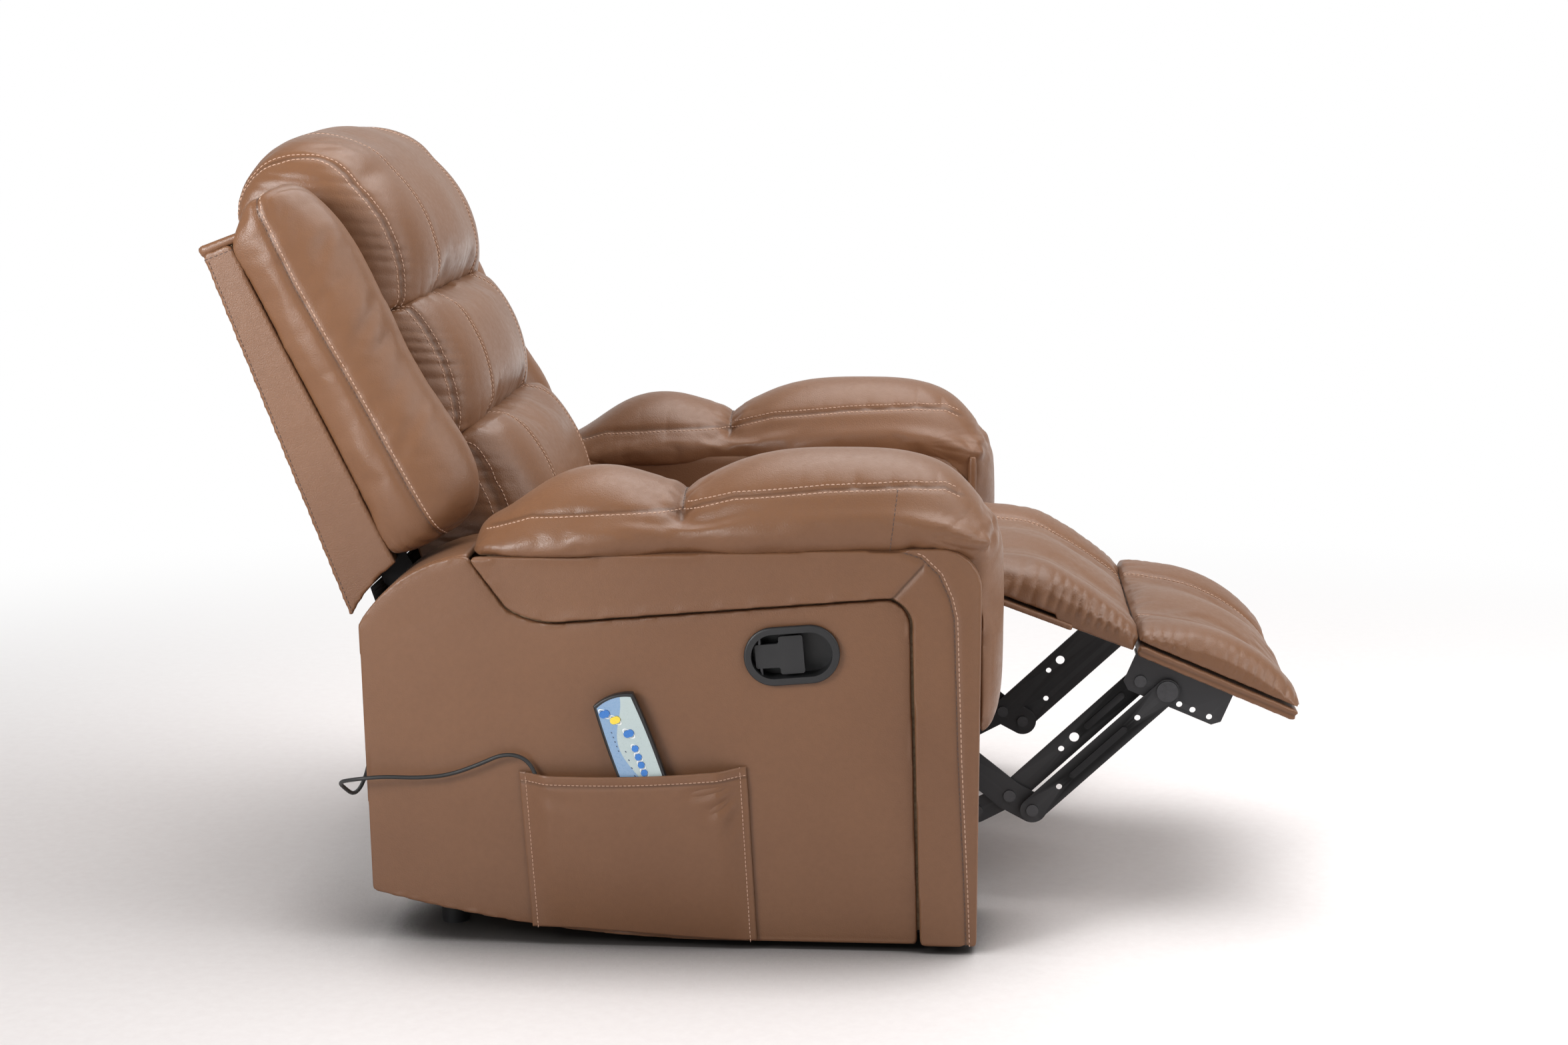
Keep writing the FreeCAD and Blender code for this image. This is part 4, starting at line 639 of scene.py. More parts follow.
leather("leather", (0.196, 0.090, 0.042), (0.174, 0.078, 0.036), 0.34, 0.46)
thread_material("thread", (0.56, 0.36, 0.26), (0.46, 0.28, 0.19))
thread_material("dark_thread", (0.09, 0.045, 0.03), (0.06, 0.03, 0.02))
plastic("black_plastic", (0.010, 0.010, 0.011), 0.40)
plastic("rubber", (0.012, 0.012, 0.012), 0.5, 300, 0.0002)
plastic("key_blue", (0.035, 0.16, 0.47), 0.3)
plastic("key_yellow", (0.78, 0.58, 0.06), 0.3)
plastic("print_white", (0.78, 0.82, 0.83), 0.35)
plastic("print_dark", (0.03, 0.05, 0.10), 0.35)
painted_steel("black_steel", (0.005, 0.005, 0.0055))
bright_steel("bright_steel", (0.42, 0.42, 0.43), (0.62, 0.61, 0.6))
bright_steel("rivet_steel", (0.05, 0.05, 0.052), (0.10, 0.10, 0.105))
wood("wood")
woven("black_cloth", (0.010, 0.010, 0.011), (0.04, 0.04, 0.042), 420)
woven("webbing", (0.030, 0.030, 0.031), (0.085, 0.083, 0.080), 300)
face_sheet("overlay")


# Finished pieces


def wear(obj, name):
    """Gives a piece one material."""
    obj.data.materials.clear()
    obj.data.materials.append(materials[name])


def dress(obj, material, body, slot, *stands_for):
    """Material and body of a finished piece, and the CAD nodes that it replaces; slot is not used."""
    wear(obj, material)
    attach(obj, body)
    if stands_for:
        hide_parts(*stands_for)


def upholster(obj, body, *stands_for, fill=None):
    """Leather cover of CAD nodes; fill, how soft a cushion is, is not used."""
    dress(obj, "leather", body, "leather", *stands_for)


def sew(obj, body, runs, kind="thread", suffix="stitches", **sizes):
    """Rows of stitches that ride with their cover."""
    row = stitches(obj.name + "_" + suffix, obj, runs, kind=kind, **sizes)
    if row is not None:
        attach(row, body)


def seam_and_row(obj, body, level, keep, offset, **sizes):
    """A row of stitches beside the zero of a level in mm, and dark thread in the seam itself."""
    sew(obj, body, level_runs(obj, level + offset, keep)[:1])
    sew(obj, body, level_runs(obj, level, keep)[:1], "dark_thread", "seam", **sizes)


def double_row(obj, level, keep, offset=4.2):
    """Two rows beside the zero of a level given in mm."""
    rows = level_runs(obj, level + offset, keep) + level_runs(obj, level - offset, keep)
    return [r for r in rows if len(r) > 8]


# CAD nodes that stay as they are

for material_name, members in {
    "wood": ("arm_frames", "seat_rails", "back_frame"),
    "black_steel": ("cross_rails", "mechanism_plates", "lift_links", "upper_links", "lower_links", "idlers",
                    "footrest_brackets", "back_brackets", "release_latch"),
    "rivet_steel": ("lift_rivets", "upper_rivets", "footrest_rivets", "pivot_pins"),
    "bright_steel": ("seat_springs",),
    "black_plastic": ("feet", "control_box", "handle_bezel", "handle_paddle", "remote_shells", "seat_motors",
                      "footrest_motors", "back_motors"),
    "black_cloth": ("rear_cover",),
    "webbing": ("back_webbing",),
    "rubber": ("release_cable", "cord_plug", "cord_gland"),
    "overlay": ("remote_face",),
    "key_blue": tuple("remote_key_%d" % i for i in (1, 3, 4, 5, 6, 7)),
    "key_yellow": ("remote_key_2",),
}.items():
    for node in members:
        wear(nodes[node], material_name)


# Back pillows

PILLOW_END = 241  # end seams of the pillows, from the middle of the chair
PILLOW_HELD = 246  # farther out the ends are not blown up
FRAME_FACE, FRAME_TOP = -48, 640  # the pillows lie on the back's frame behind and below these


def pillow(name, node, low, high, seed, gather, over_top=False, drop=0):
    """Pillow between two heights, with lengthwise seams and gathered ends; drop lowers its bottom edge."""
    obj = soft_copy(name, islands(node), 6, 5)
    slim(obj, back.forward, 6)
    co = spots(obj)
    t = back.up(co)
    taller = 0.035 * (np.minimum(t - high, 0) if over_top else t - (low + high) / 2)
    lower = drop * ramp(low + 70, low, t)
    place(obj, co + np.outer(taller - lower, back.upward) * MM)
    co = spots(obj)
    rear = back.along(co) < FRAME_FACE
    if over_top:
        rear &= back.up(co) < FRAME_TOP
    swell(obj, 16, rear | (np.abs(co[:, 1] / MM) > PILLOW_HELD), pressure=5, looser=0.012)
    subdivide(obj)
    co = spots(obj)
    n, t, y = back.along(co), back.up(co), co[:, 1] / MM
    seam, end = np.abs(y) - SEAM_OUT, np.abs(y) - PILLOW_END
    mask = ramp(-45, -20, n)
    if over_top:
        mask = np.maximum(mask, ramp(650, 670, t))
    groove(obj, np.abs(seam), 2.2, 5.5, mask)
    pucker(obj, np.minimum(end, 0), t + 0.5 * n, 19, gather, 17, seed, mask * ramp(-90, -45, end))
    groove(obj, np.abs(end), 2.4, 4.5, mask)
    for edge in (low,) if over_top else (low, high):
        pucker(obj, np.abs(t - edge), y, 34, 2.6, 34, seed + 3, mask)
    keep = lambda p: (back.along(p) > 5) | (over_top & (back.up(p) > 655))
    rows = double_row(obj, seam, keep) + double_row(obj, end, keep, 4)
    upholster(obj, "back", node, fill=0.7)
    sew(obj, "back", rows)


pillow("headrest_cover", "headrest_pillow", 490, 737, 11, 1.8, over_top=True)
pillow("middle_cover", "middle_pillow", 305.5, 489, 23, 3)
pillow("lumbar_cover", "lumbar_pillow", 104, 304.5, 37, 2.2, drop=30)


# Side bolsters of the back

BOLSTER_SEAM = ((-40, 705), (-48, 660), (-40, 560), (12, 180))
BOLSTER_ENDS = (205, 684)
# heights of both ends, distance outward and depth of each fold
BOLSTER_FOLDS = ((320, 365, 390, 2.6), (470, 505, 385, 1.8), (585, 625, 385, 2.4))


def bolster(name, solid, way, seed):
    """Long cushion beside the pillows, with its top drawn forward."""
    obj = soft_copy(name, [solid], 6, 4)
    slim(obj, back.forward, 5)
    slim(obj, (0, way, 0), 4)
    slim(obj, -back.forward, -4)
    co = spots(obj)
    top = ramp(612, 690, back.up(co))
    rear = np.clip((30 - back.along(co)) / 130, 0, 1)
    place(obj, co + np.outer(34 * top ** 1.5 * rear * MM, back.forward)
          - np.outer(16 * top * rear ** 2 * MM, back.upward))

    def level(at):
        """Distance in mm ahead of the lengthwise seam."""
        return beside(back.along(at), back.up(at), BOLSTER_SEAM)

    co = spots(obj)
    held = (np.abs(level(co)) < 4) & (way * co[:, 1] / MM > 345)
    swell(obj, 12, held, pressure=5, looser=0.010)
    subdivide(obj)
    co = spots(obj)
    n, t, out = back.along(co), back.up(co), way * co[:, 1] / MM
    mask = ramp(335, 352, out)
    groove(obj, np.abs(level(co)), 2.6, 5, mask)
    pucker(obj, level(co), t, 38, 1.5, 30, seed, mask)
    for end in BOLSTER_ENDS:
        pucker(obj, t - end, n + 0.7 * out, 24, 3, 30, seed + 4)
    for low, high, y, depth in BOLSTER_FOLDS:
        for n_from, n_to in ((5, 42), (-55, -22)):
            start, end = back.point(n_from, low, way * y), back.point(n_to, high, way * (y - 25))
            fold(obj, start / MM, end / MM, 9, depth)
    keep = lambda p: way * p[:, 1] / MM > 350
    upholster(obj, "back", "bolsters", fill=0.75)
    seam_and_row(obj, "back", level(spots(obj)), keep, 5, radius=0.4, length=5.6)


for side, solid, way, seed in zip(("right", "left"), islands("bolsters"), (-1, 1), (41, 53)):
    bolster("bolster_%s_cover" % side, solid, way, seed)


# Shell of the back: rear panel and side strips

TOP_CAP = ((-139, 632), (-139, 646), (-52, 646), (-52, 638), (-128, 632))
STRIP_WIDTH = 60  # the side strips are narrower than this, the rear panel wider


def prism(outline, half):
    """Solid of an outline on the back's plane, from side to side, as (points, faces)."""
    count = len(outline)
    points = [back.point(n, t, y) for y in (-half, half) for n, t in outline]
    faces = [list(range(count)), list(range(2 * count - 1, count - 1, -1))]
    faces += [[k, k + count, (k + 1) % count + count, (k + 1) % count] for k in range(count)]
    return np.array(points), faces


def back_shell(name, solid):
    """Side strip, or the rear panel with the cover of the back's top edge."""
    across = np.ptp(solid[0][:, 1]) / MM
    strip = across < STRIP_WIDTH
    panel = soft_copy(name, [solid] if strip else [solid, prism(TOP_CAP, across / 2 + 8)], 4, 3)
    co = spots(panel)
    n, t, y = back.along(co), back.up(co), co[:, 1] / MM
    upholster(panel, "back", "back_panels")
    if strip:
        outside = lambda p: np.abs(p[:, 1] / MM) > 384
        rows = level_runs(panel, n + 130.5, lambda p: outside(p) & (back.up(p) < 626))[:1]
        rows += level_runs(panel, t - 628, outside)[:1]
        sew(panel, "back", rows, "dark_thread", length=5, radius=0.5)
    else:
        behind = lambda p: back.along(p) < -130
        sew(panel, "back", level_runs(panel, y + 372, behind)[:1] + level_runs(panel, y - 372, behind)[:1])


for k, solid in enumerate(islands("back_panels"), 1):
    back_shell("back_shell_%d" % k, solid)


# Arms

PAD_SEAM = ((100, 506), (141, 526), (218, 551), (300, 557), (357, 559), (408, 560),
            (470, 577), (584, 588), (682, 592), (728, 589), (762, 572), (790, 540))
DIP = 404  # dip between the two puffs of an arm pad
ARM_MIDDLE = 360  # middle of an arm, from the middle of the chair
PANEL_FACE, BORDER_FACE = 446, 455  # outer faces of the side panel and of its border
BORDER_SEAM = ((640, 516), (672, 514), (700, 505), (722, 484), (735, 455), (741, 430),
               (748, 250), (757, 90), (762, -20))
MITRE = ((664, 452), (704, 497))


def arm_place(co, way):
    """Places in mm: forward of the arm's rear edge, outward and up."""
    return co[:, 0] / MM - REAR_X, way * co[:, 1] / MM, co[:, 2] / MM


def above_seam(x, z):
    """Height in mm above the seam along an arm pad's side."""
    return z - np.interp(x, *zip(*PAD_SEAM))


def arm_cushion(name, pad_node, way, seed):
    """Arm pad with its front end hanging down the face of the arm, as one cover."""
    co, faces = [s for s in islands("front_pads") if s[0][:, 1].mean() * way > 0][0]
    rear_face = co[:, 0] < co[:, 0].min() + 0.002
    co[rear_face, 0] -= 0.050 * ramp(0.43, 0.48, co[rear_face, 2])
    co[:, 2] += 0.030 * ramp(0.44, 0.516, co[:, 2])
    obj = soft_copy(name, islands(pad_node) + [(co, faces)], 5.5, 5)
    upper = ramp(508, 530, spots(obj)[:, 2] / MM)
    slim(obj, (0, 0, 1), 4, upper)
    slim(obj, (1, 0, 0), 4, upper)
    slim(obj, (0, 0, -1), -2.5, 1 - upper)
    x, y, z = arm_place(spots(obj), way)
    held = ((np.abs(x - DIP) < 4) & (z > 545)) | ((z < 503) & (x < 770))
    swell(obj, np.where(x > 772, 5, 14), held, pressure=5.5, looser=0.014)
    subdivide(obj)
    x, y, z = arm_place(spots(obj), way)
    level, off_middle = above_seam(x, z), np.abs(y - ARM_MIDDLE)
    sides = ramp(28, 50, off_middle) * ramp(120, 150, x) * ramp(762, 742, x)
    puffed = sides * ramp(-2, 3, level) * ramp(500, 660, x)
    ridge = ramp(540, 556, z) * ramp(110, 140, x)
    nose = ramp(690, 740, x) * ramp(470, 500, z) * ramp(585, 560, z)
    round_nose = np.degrees(np.arctan2(z - 540, x - 690)) * 1.6 + 0.4 * y
    facing = ramp(774, 790, x)
    groove(obj, np.abs(level), 1.8, 4.5, sides)
    groove(obj, np.abs(x - DIP), 8, 12, ridge, 0)
    groove(obj, np.abs(x - DIP), 3, 3.5, ridge)
    for far, along, pitch, depth, reach, step, mask in (
            (x - DIP, y + 0.6 * z, 23, 5.2, 30, 0, ridge),
            (level, x, 33, 9, 30, 1, puffed),
            (level, x, 44, 1.8, 24, 2, sides * ramp(520, 420, x)),
            (z - 535, round_nose, 20, 3, 40, 6, nose),
            (y - 262, z, 33, 2.4, 26, 7, facing),
            (y - PANEL_FACE, z, 29, 2.6, 26, 8, facing),
            (z - 277, y, 26, 2.6, 26, 12, facing),
            (z - 503, x, 52, 1.6, 20, 14, (1 - facing) * ramp(30, 60, off_middle))):
        pucker(obj, far, along, pitch, depth, reach, seed + step, mask)

    def on_side(p):
        x, y, _ = arm_place(p, way)
        return (np.abs(y - ARM_MIDDLE) > 42) & (x > 136) & (x < 748)

    def on_end(p):
        _, y, z = arm_place(p, way)
        return (y > 425) & (z > 512) & (z < 589)

    x, y, z = arm_place(spots(obj), way)
    level = above_seam(x, z)
    rows = level_runs(obj, level - 4.2, on_side)[:2] + level_runs(obj, level + 4.2, on_side)[:2]
    dark = level_runs(obj, x - DIP, lambda p: p[:, 2] > 0.553)
    dark += level_runs(obj, x - 671 + 0.12 * (590 - z), on_end)[:1]
    upholster(obj, "base", pad_node, "front_pads", fill=0.75)
    sew(obj, "base", rows)
    sew(obj, "base", dark, "dark_thread", "seam", radius=0.55, length=5.2)


def edge_distance(obj, way, face_y):
    """How far in mm each point of an outer face lies from the face's outline, and which points those are."""
    co = spots(obj)
    face = way * co[:, 1] / MM > face_y - 1.4
    rim = np.nonzero(~face)[0]
    tree = KDTree(len(rim))
    for k, i in enumerate(rim):
        tree.insert((co[i, 0], 0, co[i, 2]), k)
    tree.balance()
    far = np.zeros(len(co))
    for i in np.nonzero(face)[0]:
        far[i] = tree.find((co[i, 0], 0, co[i, 2]))[2] / MM
    return far, face


def side_panel(node, way):
    """Outer leather of an arm, drawn in at its edge and softly uneven."""
    panel = soft_copy(node + "_cover", islands(node), 5, 2)
    far, face = edge_distance(panel, way, PANEL_FACE)
    co = spots(panel)
    x, z = co[:, 0] / MM, co[:, 2] / MM
    soft = 0.5 + 0.5 * wobble(x / 90 + 0.35 * wobble(z / 70, 5), 3) * wobble(z / 80, 8)
    drawn_in = 2.6 * np.exp(-far / 16) + 1.3 * soft * (1 - np.exp(-far / 30))
    co[face, 1] -= way * drawn_in[face] * MM
    place(panel, co)
    upholster(panel, "base", node)


def border(name, solid, way):
    """Raised border of an arm's side: its front edge and the thicker band under the pad."""
    obj = soft_copy(name, [solid], 4, 3)
    far, face = edge_distance(obj, way, BORDER_FACE)
    co = spots(obj)
    band = 1 - ramp(640, 715, co[:, 0] / MM - REAR_X)
    inward = np.clip(1 - far / (34 + 4 * band), 0, 1)
    rise = (8 + 8.5 * band) * np.sqrt(1 - inward ** 2) - 4 * np.exp(-far / 6)
    co[face, 1] += way * rise[face] * MM
    place(obj, co)
    smoother(obj, 5)
    settle(obj)
    subdivide(obj)
    x, y, z = arm_place(spots(obj), way)
    outside = ramp(440, 448, y)
    mitred = ramp(660, 665, x) * ramp(706, 702, x)
    groove(obj, np.abs(beside(x, z, BORDER_SEAM)), 2.6, 5, outside)
    groove(obj, np.abs(beside(x, z, MITRE)), 2.2, 4, outside * mitred, 0.8)
    x, y, z = arm_place(spots(obj), way)
    keep = lambda p: (way * p[:, 1] / MM > PANEL_FACE) & (p[:, 2] < 0.512)
    upholster(obj, "base", "arm_borders")
    seam_and_row(obj, "base", beside(x, z, BORDER_SEAM), keep, 4.6, radius=0.5, length=5)


arm_cushion("arm_cushion_right", "right_arm_pad", -1, 61)
arm_cushion("arm_cushion_left", "left_arm_pad", 1, 71)
side_panel("right_side_panel", -1)
side_panel("left_side_panel", 1)
for name, solid, way in zip(("border_right", "border_left"), islands("arm_borders"), (-1, 1)):
    border(name, solid, way)
for k, solid in enumerate(islands("arm_inners"), 1):
    inner = soft_copy("arm_inner_cover_%d" % k, [solid], 6, 3)
    co = spots(inner)
    co[:, 2] += 0.012 * ramp(0.470, 0.500, co[:, 2])
    co[:, 0] += 0.012 * ramp(ahead(735), ahead(760), co[:, 0])
    place(inner, co)
    upholster(inner, "base", "arm_inners")
for k, solid in enumerate(islands("arm_ends"), 1):
    end = soft_copy("arm_end_cover_%d" % k, [solid], 4, 2)
    co = spots(end)
    if co[:, 0].mean() > 0:
        co[:, 2] += 0.068 * ramp(0.425, 0.451, co[:, 2])
        place(end, co)
    upholster(end, "base", "arm_ends")


# Seat, footrest and calf pad

CALF_FOLDS = ((8, 20), (34, 52), (70, 84), (100, 118))  # from the edge, to the inside


def height(co):
    return co[:, 2] / MM


def pad(name, node, up_of, hem, cap=10, looser=0.010, size=5, inset=3.5):
    """Pad blown up between its two lengthwise seams; hem is how high its sides and its seams are held."""
    obj = soft_copy(name, islands(node), size, 4, inset)
    co = spots(obj)
    up, seam = up_of(co), np.abs(np.abs(co[:, 1] / MM) - SEAM_OUT)
    side_top, seam_low = hem
    swell(obj, cap, ((seam < 4) & (up > seam_low)) | (up < side_top), looser=looser)
    subdivide(obj)
    return obj


def pad_seams(obj, y, mask, edge, along, seed, reach=26, depth=2.6):
    """Two lengthwise seams and gathered side edges of a pad."""
    groove(obj, np.abs(np.abs(y) - SEAM_OUT), 3, 6, mask)
    pucker(obj, np.abs(y) - edge, along, 15, depth, reach, seed, mask)


def seam_rows(obj, keep):
    return double_row(obj, np.abs(spots(obj)[:, 1] / MM) - SEAM_OUT, keep)


def seat_cover():
    obj = pad("seat_cover", "seat_cushion", height, (410, 430), looser=0.006, size=6, inset=5)
    co = spots(obj)
    co[:, 2] += 0.011 * ramp(0.190, 0.262, co[:, 0]) * ramp(0.420, 0.452, co[:, 2])
    place(obj, co)
    pad_seams(obj, co[:, 1] / MM, ramp(425, 440, height(co)), 252, co[:, 0] / MM, 81)
    rows = seam_rows(obj, lambda p: p[:, 2] > 0.44)
    upholster(obj, "base", "seat_cushion", fill=0.7)
    sew(obj, "base", rows)


def footrest_cover():
    obj = pad("footrest_cover", "footrest_pad", leg.up, (21, 26))
    co = spots(obj)
    place(obj, co - np.outer(14 * ramp(50, 0, leg.along(co)) * MM, leg.forward))
    co = spots(obj)
    a, y, mask = leg.along(co), co[:, 1] / MM, ramp(20, 30, leg.up(co))
    pad_seams(obj, y, mask, 249, a, 91, depth=4.2)
    pucker(obj, a - 226, y, 19, 2.2, 24, 95, mask)
    pucker(obj, a - 6, y, 26, 1.8, 20, 97, mask)
    rows = seam_rows(obj, lambda p: leg.up(p) > 26)
    upholster(obj, "footrest", "footrest_pad", fill=0.7)
    sew(obj, "footrest", rows)


def footrest_board_cover():
    obj = soft_copy("footrest_board_cover", islands("footrest_board"), 4, 3)
    subdivide(obj)
    co = spots(obj)
    to_edge = np.minimum(256 - np.abs(co[:, 1] / MM), 224 - leg.along(co))
    groove(obj, np.abs(leg.up(co) - 7.5), 1.6, 2.6, np.where(to_edge < 3, 1, 0))
    upholster(obj, "footrest", "footrest_board")


def calf_cover():
    """Calf pad, which bends over the front edge of the seat."""
    obj = pad("calf_cover", "calf_pad", calf.up, (13, 18), cap=9)
    co = spots(obj)
    co += np.outer(20 * ramp(90, 178, calf.along(co)) * MM, calf.forward)
    a, y, up = calf.along(co), co[:, 1] / MM, calf.up(co)
    welt = (np.abs(y) > 240) * ramp(26, 14, up) * ramp(84, 92, a)
    place(obj, co - np.outer(9 * welt * MM, calf.upward))
    co = spots(obj)
    nose = ramp(70, -34, calf.along(co)) * ramp(14, 46, calf.up(co))
    place(obj, co - np.outer(17 * nose * MM, calf.upward))
    co = spots(obj)
    a, y, mask = calf.along(co), co[:, 1] / MM, ramp(12, 22, calf.up(co))
    pad_seams(obj, y, mask, 247, a, 101, reach=36, depth=5.4)
    for k, (edge_a, inside_a) in enumerate(CALF_FOLDS):
        for way in (-1, 1):
            start = calf.point(edge_a, 30, way * 246)
            end = calf.point(inside_a, 42, way * (196 - 9 * k))
            fold(obj, start / MM, end / MM, 7, 2.6)
    pucker(obj, a - 178, y, 30, 2, 20, 103, mask)
    wear(obj, "leather")
    rows = stitches("calf_stitches", obj, seam_rows(obj, lambda p: calf.up(p) > 18))
    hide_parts("calf_pad")
    for piece in (obj, rows):
        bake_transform(piece)


seat_cover()
footrest_cover()
footrest_board_cover()
upholster(soft_copy("calf_board_cover", islands("calf_board"), 3, 2), "calf", "calf_board")
calf_cover()


# Pocket

POCKET_REAR, POCKET_FRONT = 200, 485  # sides at the mouth, forward of the arm's rear edge
SLANT_REAR, SLANT_FRONT = 14, 13  # the sides run this far forward down to the bottom
# both ends of each fold as (ahead, y, z), its width and depth
POCKET_FOLDS = (((472, -460, 216), (415, -465, 205), 6, 2.2), ((476, -458, 206), (438, -464, 180), 6.5, 2),
                ((480, -456, 190), (462, -460, 150), 7, 1.4), ((222, -458, 205), (266, -464, 186), 8, 1))


def pocket_mouth(share):
    """Height in mm of the mouth at a share of its width."""
    return 227 + 11 * share - 5.5 * np.sin(math.pi * np.clip(share, 0, 1))


def two_layers(across, down):
    """Faces of two equal sheets of points, joined at their edges."""
    row, layer = across + 1, (across + 1) * (down + 1)
    faces = []
    for a, b, c, d in quads(down + 1, row):
        faces += [(a, d, c, b), (a + layer, b + layer, c + layer, d + layer)]
    for i in range(across):
        e = down * row + i
        faces += [(i, i + 1, i + 1 + layer, i + layer), (e + 1, e, e + layer, e + 1 + layer)]
    for j in range(down):
        a = j * row
        e = a + across
        faces += [(a + row, a, a + layer, a + row + layer), (e, e + row, e + row + layer, e + layer)]
    return faces


def pocket_cover():
    """Patch pocket: a leather sheet sewn down at the sides and the bottom, standing off at its mouth."""
    across, down = 110, 84
    v, u = np.divmod(np.arange((down + 1) * (across + 1)), across + 1)
    u, v = u / across, v / down
    x = (POCKET_REAR + SLANT_REAR * v) * (1 - u) + (POCKET_FRONT + SLANT_FRONT * v) * u
    mouth, low = pocket_mouth(u), 25 - 13 * ramp(0, 1, u)
    z = mouth + (low - mouth) * v
    rise = ramp(0, 0.14, np.minimum(u, 1 - u))
    bulge = 1.2 + 18.2 * rise * (1 - v ** 2.6) * (0.93 + 0.07 * np.sin(math.pi * u))
    layers = [np.stack([ahead(x), -(PANEL_FACE + 0.4 + off) * MM, z * MM], 1)
              for off in (bulge, np.maximum(0.15, bulge - 2))]
    obj = new_object("pocket_cover", np.concatenate(layers), two_layers(across, down))

    def measures():
        """Places in mm: forward of the arm's rear edge, height of the mouth, depth below the mouth."""
        x, _, z = arm_place(spots(obj), 1)
        mouth = pocket_mouth((x - POCKET_REAR) / (POCKET_FRONT - POCKET_REAR))
        return x, mouth, mouth - z

    x, mouth, depth = measures()
    groove(obj, np.abs(depth - 13), 0.9, 2.6, np.repeat([1, 0], len(u)), 0.6)
    for start, end, width, deep in POCKET_FOLDS:
        fold(obj, (REAR_X + start[0], *start[1:]), (REAR_X + end[0], *end[1:]), width, deep)
    x, mouth, depth = measures()
    share = np.clip(depth / np.maximum(mouth - 12, 1), 0, 1)
    rear = x - (POCKET_REAR + SLANT_REAR * share) - 8
    front = (POCKET_FRONT + SLANT_FRONT * share) - 8 - x
    rows = [min(level_runs(obj, level), key=lambda r: r[:, 1].mean()) for level in (depth - 11, rear, front)]
    upholster(obj, "base", "pocket")
    sew(obj, "base", rows, pitch=5.4, length=4, radius=0.55)


pocket_cover()


# Remote: rings round the keys and indicator dots, all without words

LEAN_COS, LEAN_SIN = math.cos(REMOTE_LEAN), math.sin(REMOTE_LEAN)
DOWN_REMOTE = Vector((LEAN_SIN, 0, -LEAN_COS))
ACROSS_REMOTE = Vector((LEAN_COS, 0, LEAN_SIN))
FACE_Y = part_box("remote_face")[0][1]


def disc(name, centre, radius, thick, material, hole=1e-5, wide=1):
    """Flat ring or dot on the face of the remote."""
    sides = 28
    verts = []
    for ring, depth in ((radius, 0), (radius, -thick), (hole, -thick)):
        for k in range(sides):
            a = 2 * math.pi * k / sides
            u, v = math.cos(a) * ring * wide, math.sin(a) * ring
            verts.append((centre.x + u * LEAN_COS - v * LEAN_SIN, FACE_Y + depth,
                          centre.z - u * LEAN_SIN + v * LEAN_COS))
    dress(new_object(name, verts, quads(3, sides, closed=True), False), material, "remote", "overlay")


for k in range(1, 8):
    low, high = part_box("remote_key_%d" % k)
    middle = (Vector(low) + Vector(high)) / 2
    small = k > 3
    radius = 0.0056 if small else 0.0060
    disc("key_ring_%d" % k, middle, radius, 0.00025, "print_white", radius - 0.0011, 1 if small else 1.36)
    if small:
        disc("key_dot_%d" % k, middle - ACROSS_REMOTE * 0.0125, 0.0011, 0.00022, "print_dark")
top_key = Vector(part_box("remote_key_2")[0])
for k in range(5):
    spot = top_key + DOWN_REMOTE * (0.011 + 0.0062 * k) - ACROSS_REMOTE * 0.002
    disc("mode_dot_%d" % (k + 1), spot, 0.0010, 0.00022, "print_dark")


# Cord of the remote

ROUTE = (
    (-0.505, -0.118, 0.222), (-0.528, -0.118, 0.222), (-0.546, -0.150, 0.207), (-0.544, -0.200, 0.180),
    (-0.540, -0.250, 0.163), (-0.537, -0.300, 0.158), (-0.535, -0.350, 0.165), (-0.533, -0.398, 0.186),
    (-0.532, -0.440, 0.207), (-0.508, -0.462, 0.217), (-0.470, -0.460, 0.221), (-0.430, -0.457, 0.219),
    (-0.390, -0.454, 0.222), (-0.352, -0.4535, 0.236), (-0.318, -0.4535, 0.252), (-0.290, -0.4535, 0.246),
    (-0.276, -0.454, 0.220), (-0.268, -0.454, 0.186), (-0.254, -0.454, 0.152), (-0.232, -0.454, 0.120),
    (-0.200, -0.454, 0.101), (-0.164, -0.454, 0.095), (-0.130, -0.454, 0.100), (-0.1075, -0.454, 0.120),
    (-0.120, -0.454, 0.155))
LEAD_RADIUS = 0.0026


def lead_curve():
    """Smooth line through the pocket, along the side and round to the rear cover."""
    curve = bpy.data.curves.new("lead_line", "CURVE")
    curve.dimensions = "3D"
    curve.bevel_resolution = 4
    curve.resolution_u = 12
    curve.use_fill_caps = True
    line = curve.splines.new("NURBS")
    line.points.add(len(ROUTE) - 1)
    for point, spot in zip(line.points, ROUTE):
        point.co = (*spot, 1)
    line.order_u = 3
    line.use_endpoint_u = True
    return show("lead_line", curve)


def lead_mesh(line_object, radius):
    """Mesh of the curve as a tube of that radius, or its bare line at no radius."""
    line_object.data.bevel_depth = radius
    graph = bpy.context.evaluated_depsgraph_get()
    return bpy.data.meshes.new_from_object(line_object.evaluated_get(graph))


lead_line = lead_curve()
lead_path = [tuple(v.co) for v in lead_mesh(lead_line, 0).vertices]
lead = show("remote_lead", lead_mesh(lead_line, LEAD_RADIUS))
bpy.data.objects.remove(lead_line)
shade_smooth(lead.data)
wear(lead, "rubber")
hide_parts("remote_cord")
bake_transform(lead)


# Cloth behind the seat and the heating pad

SKIRT_WIDTH = 0.522


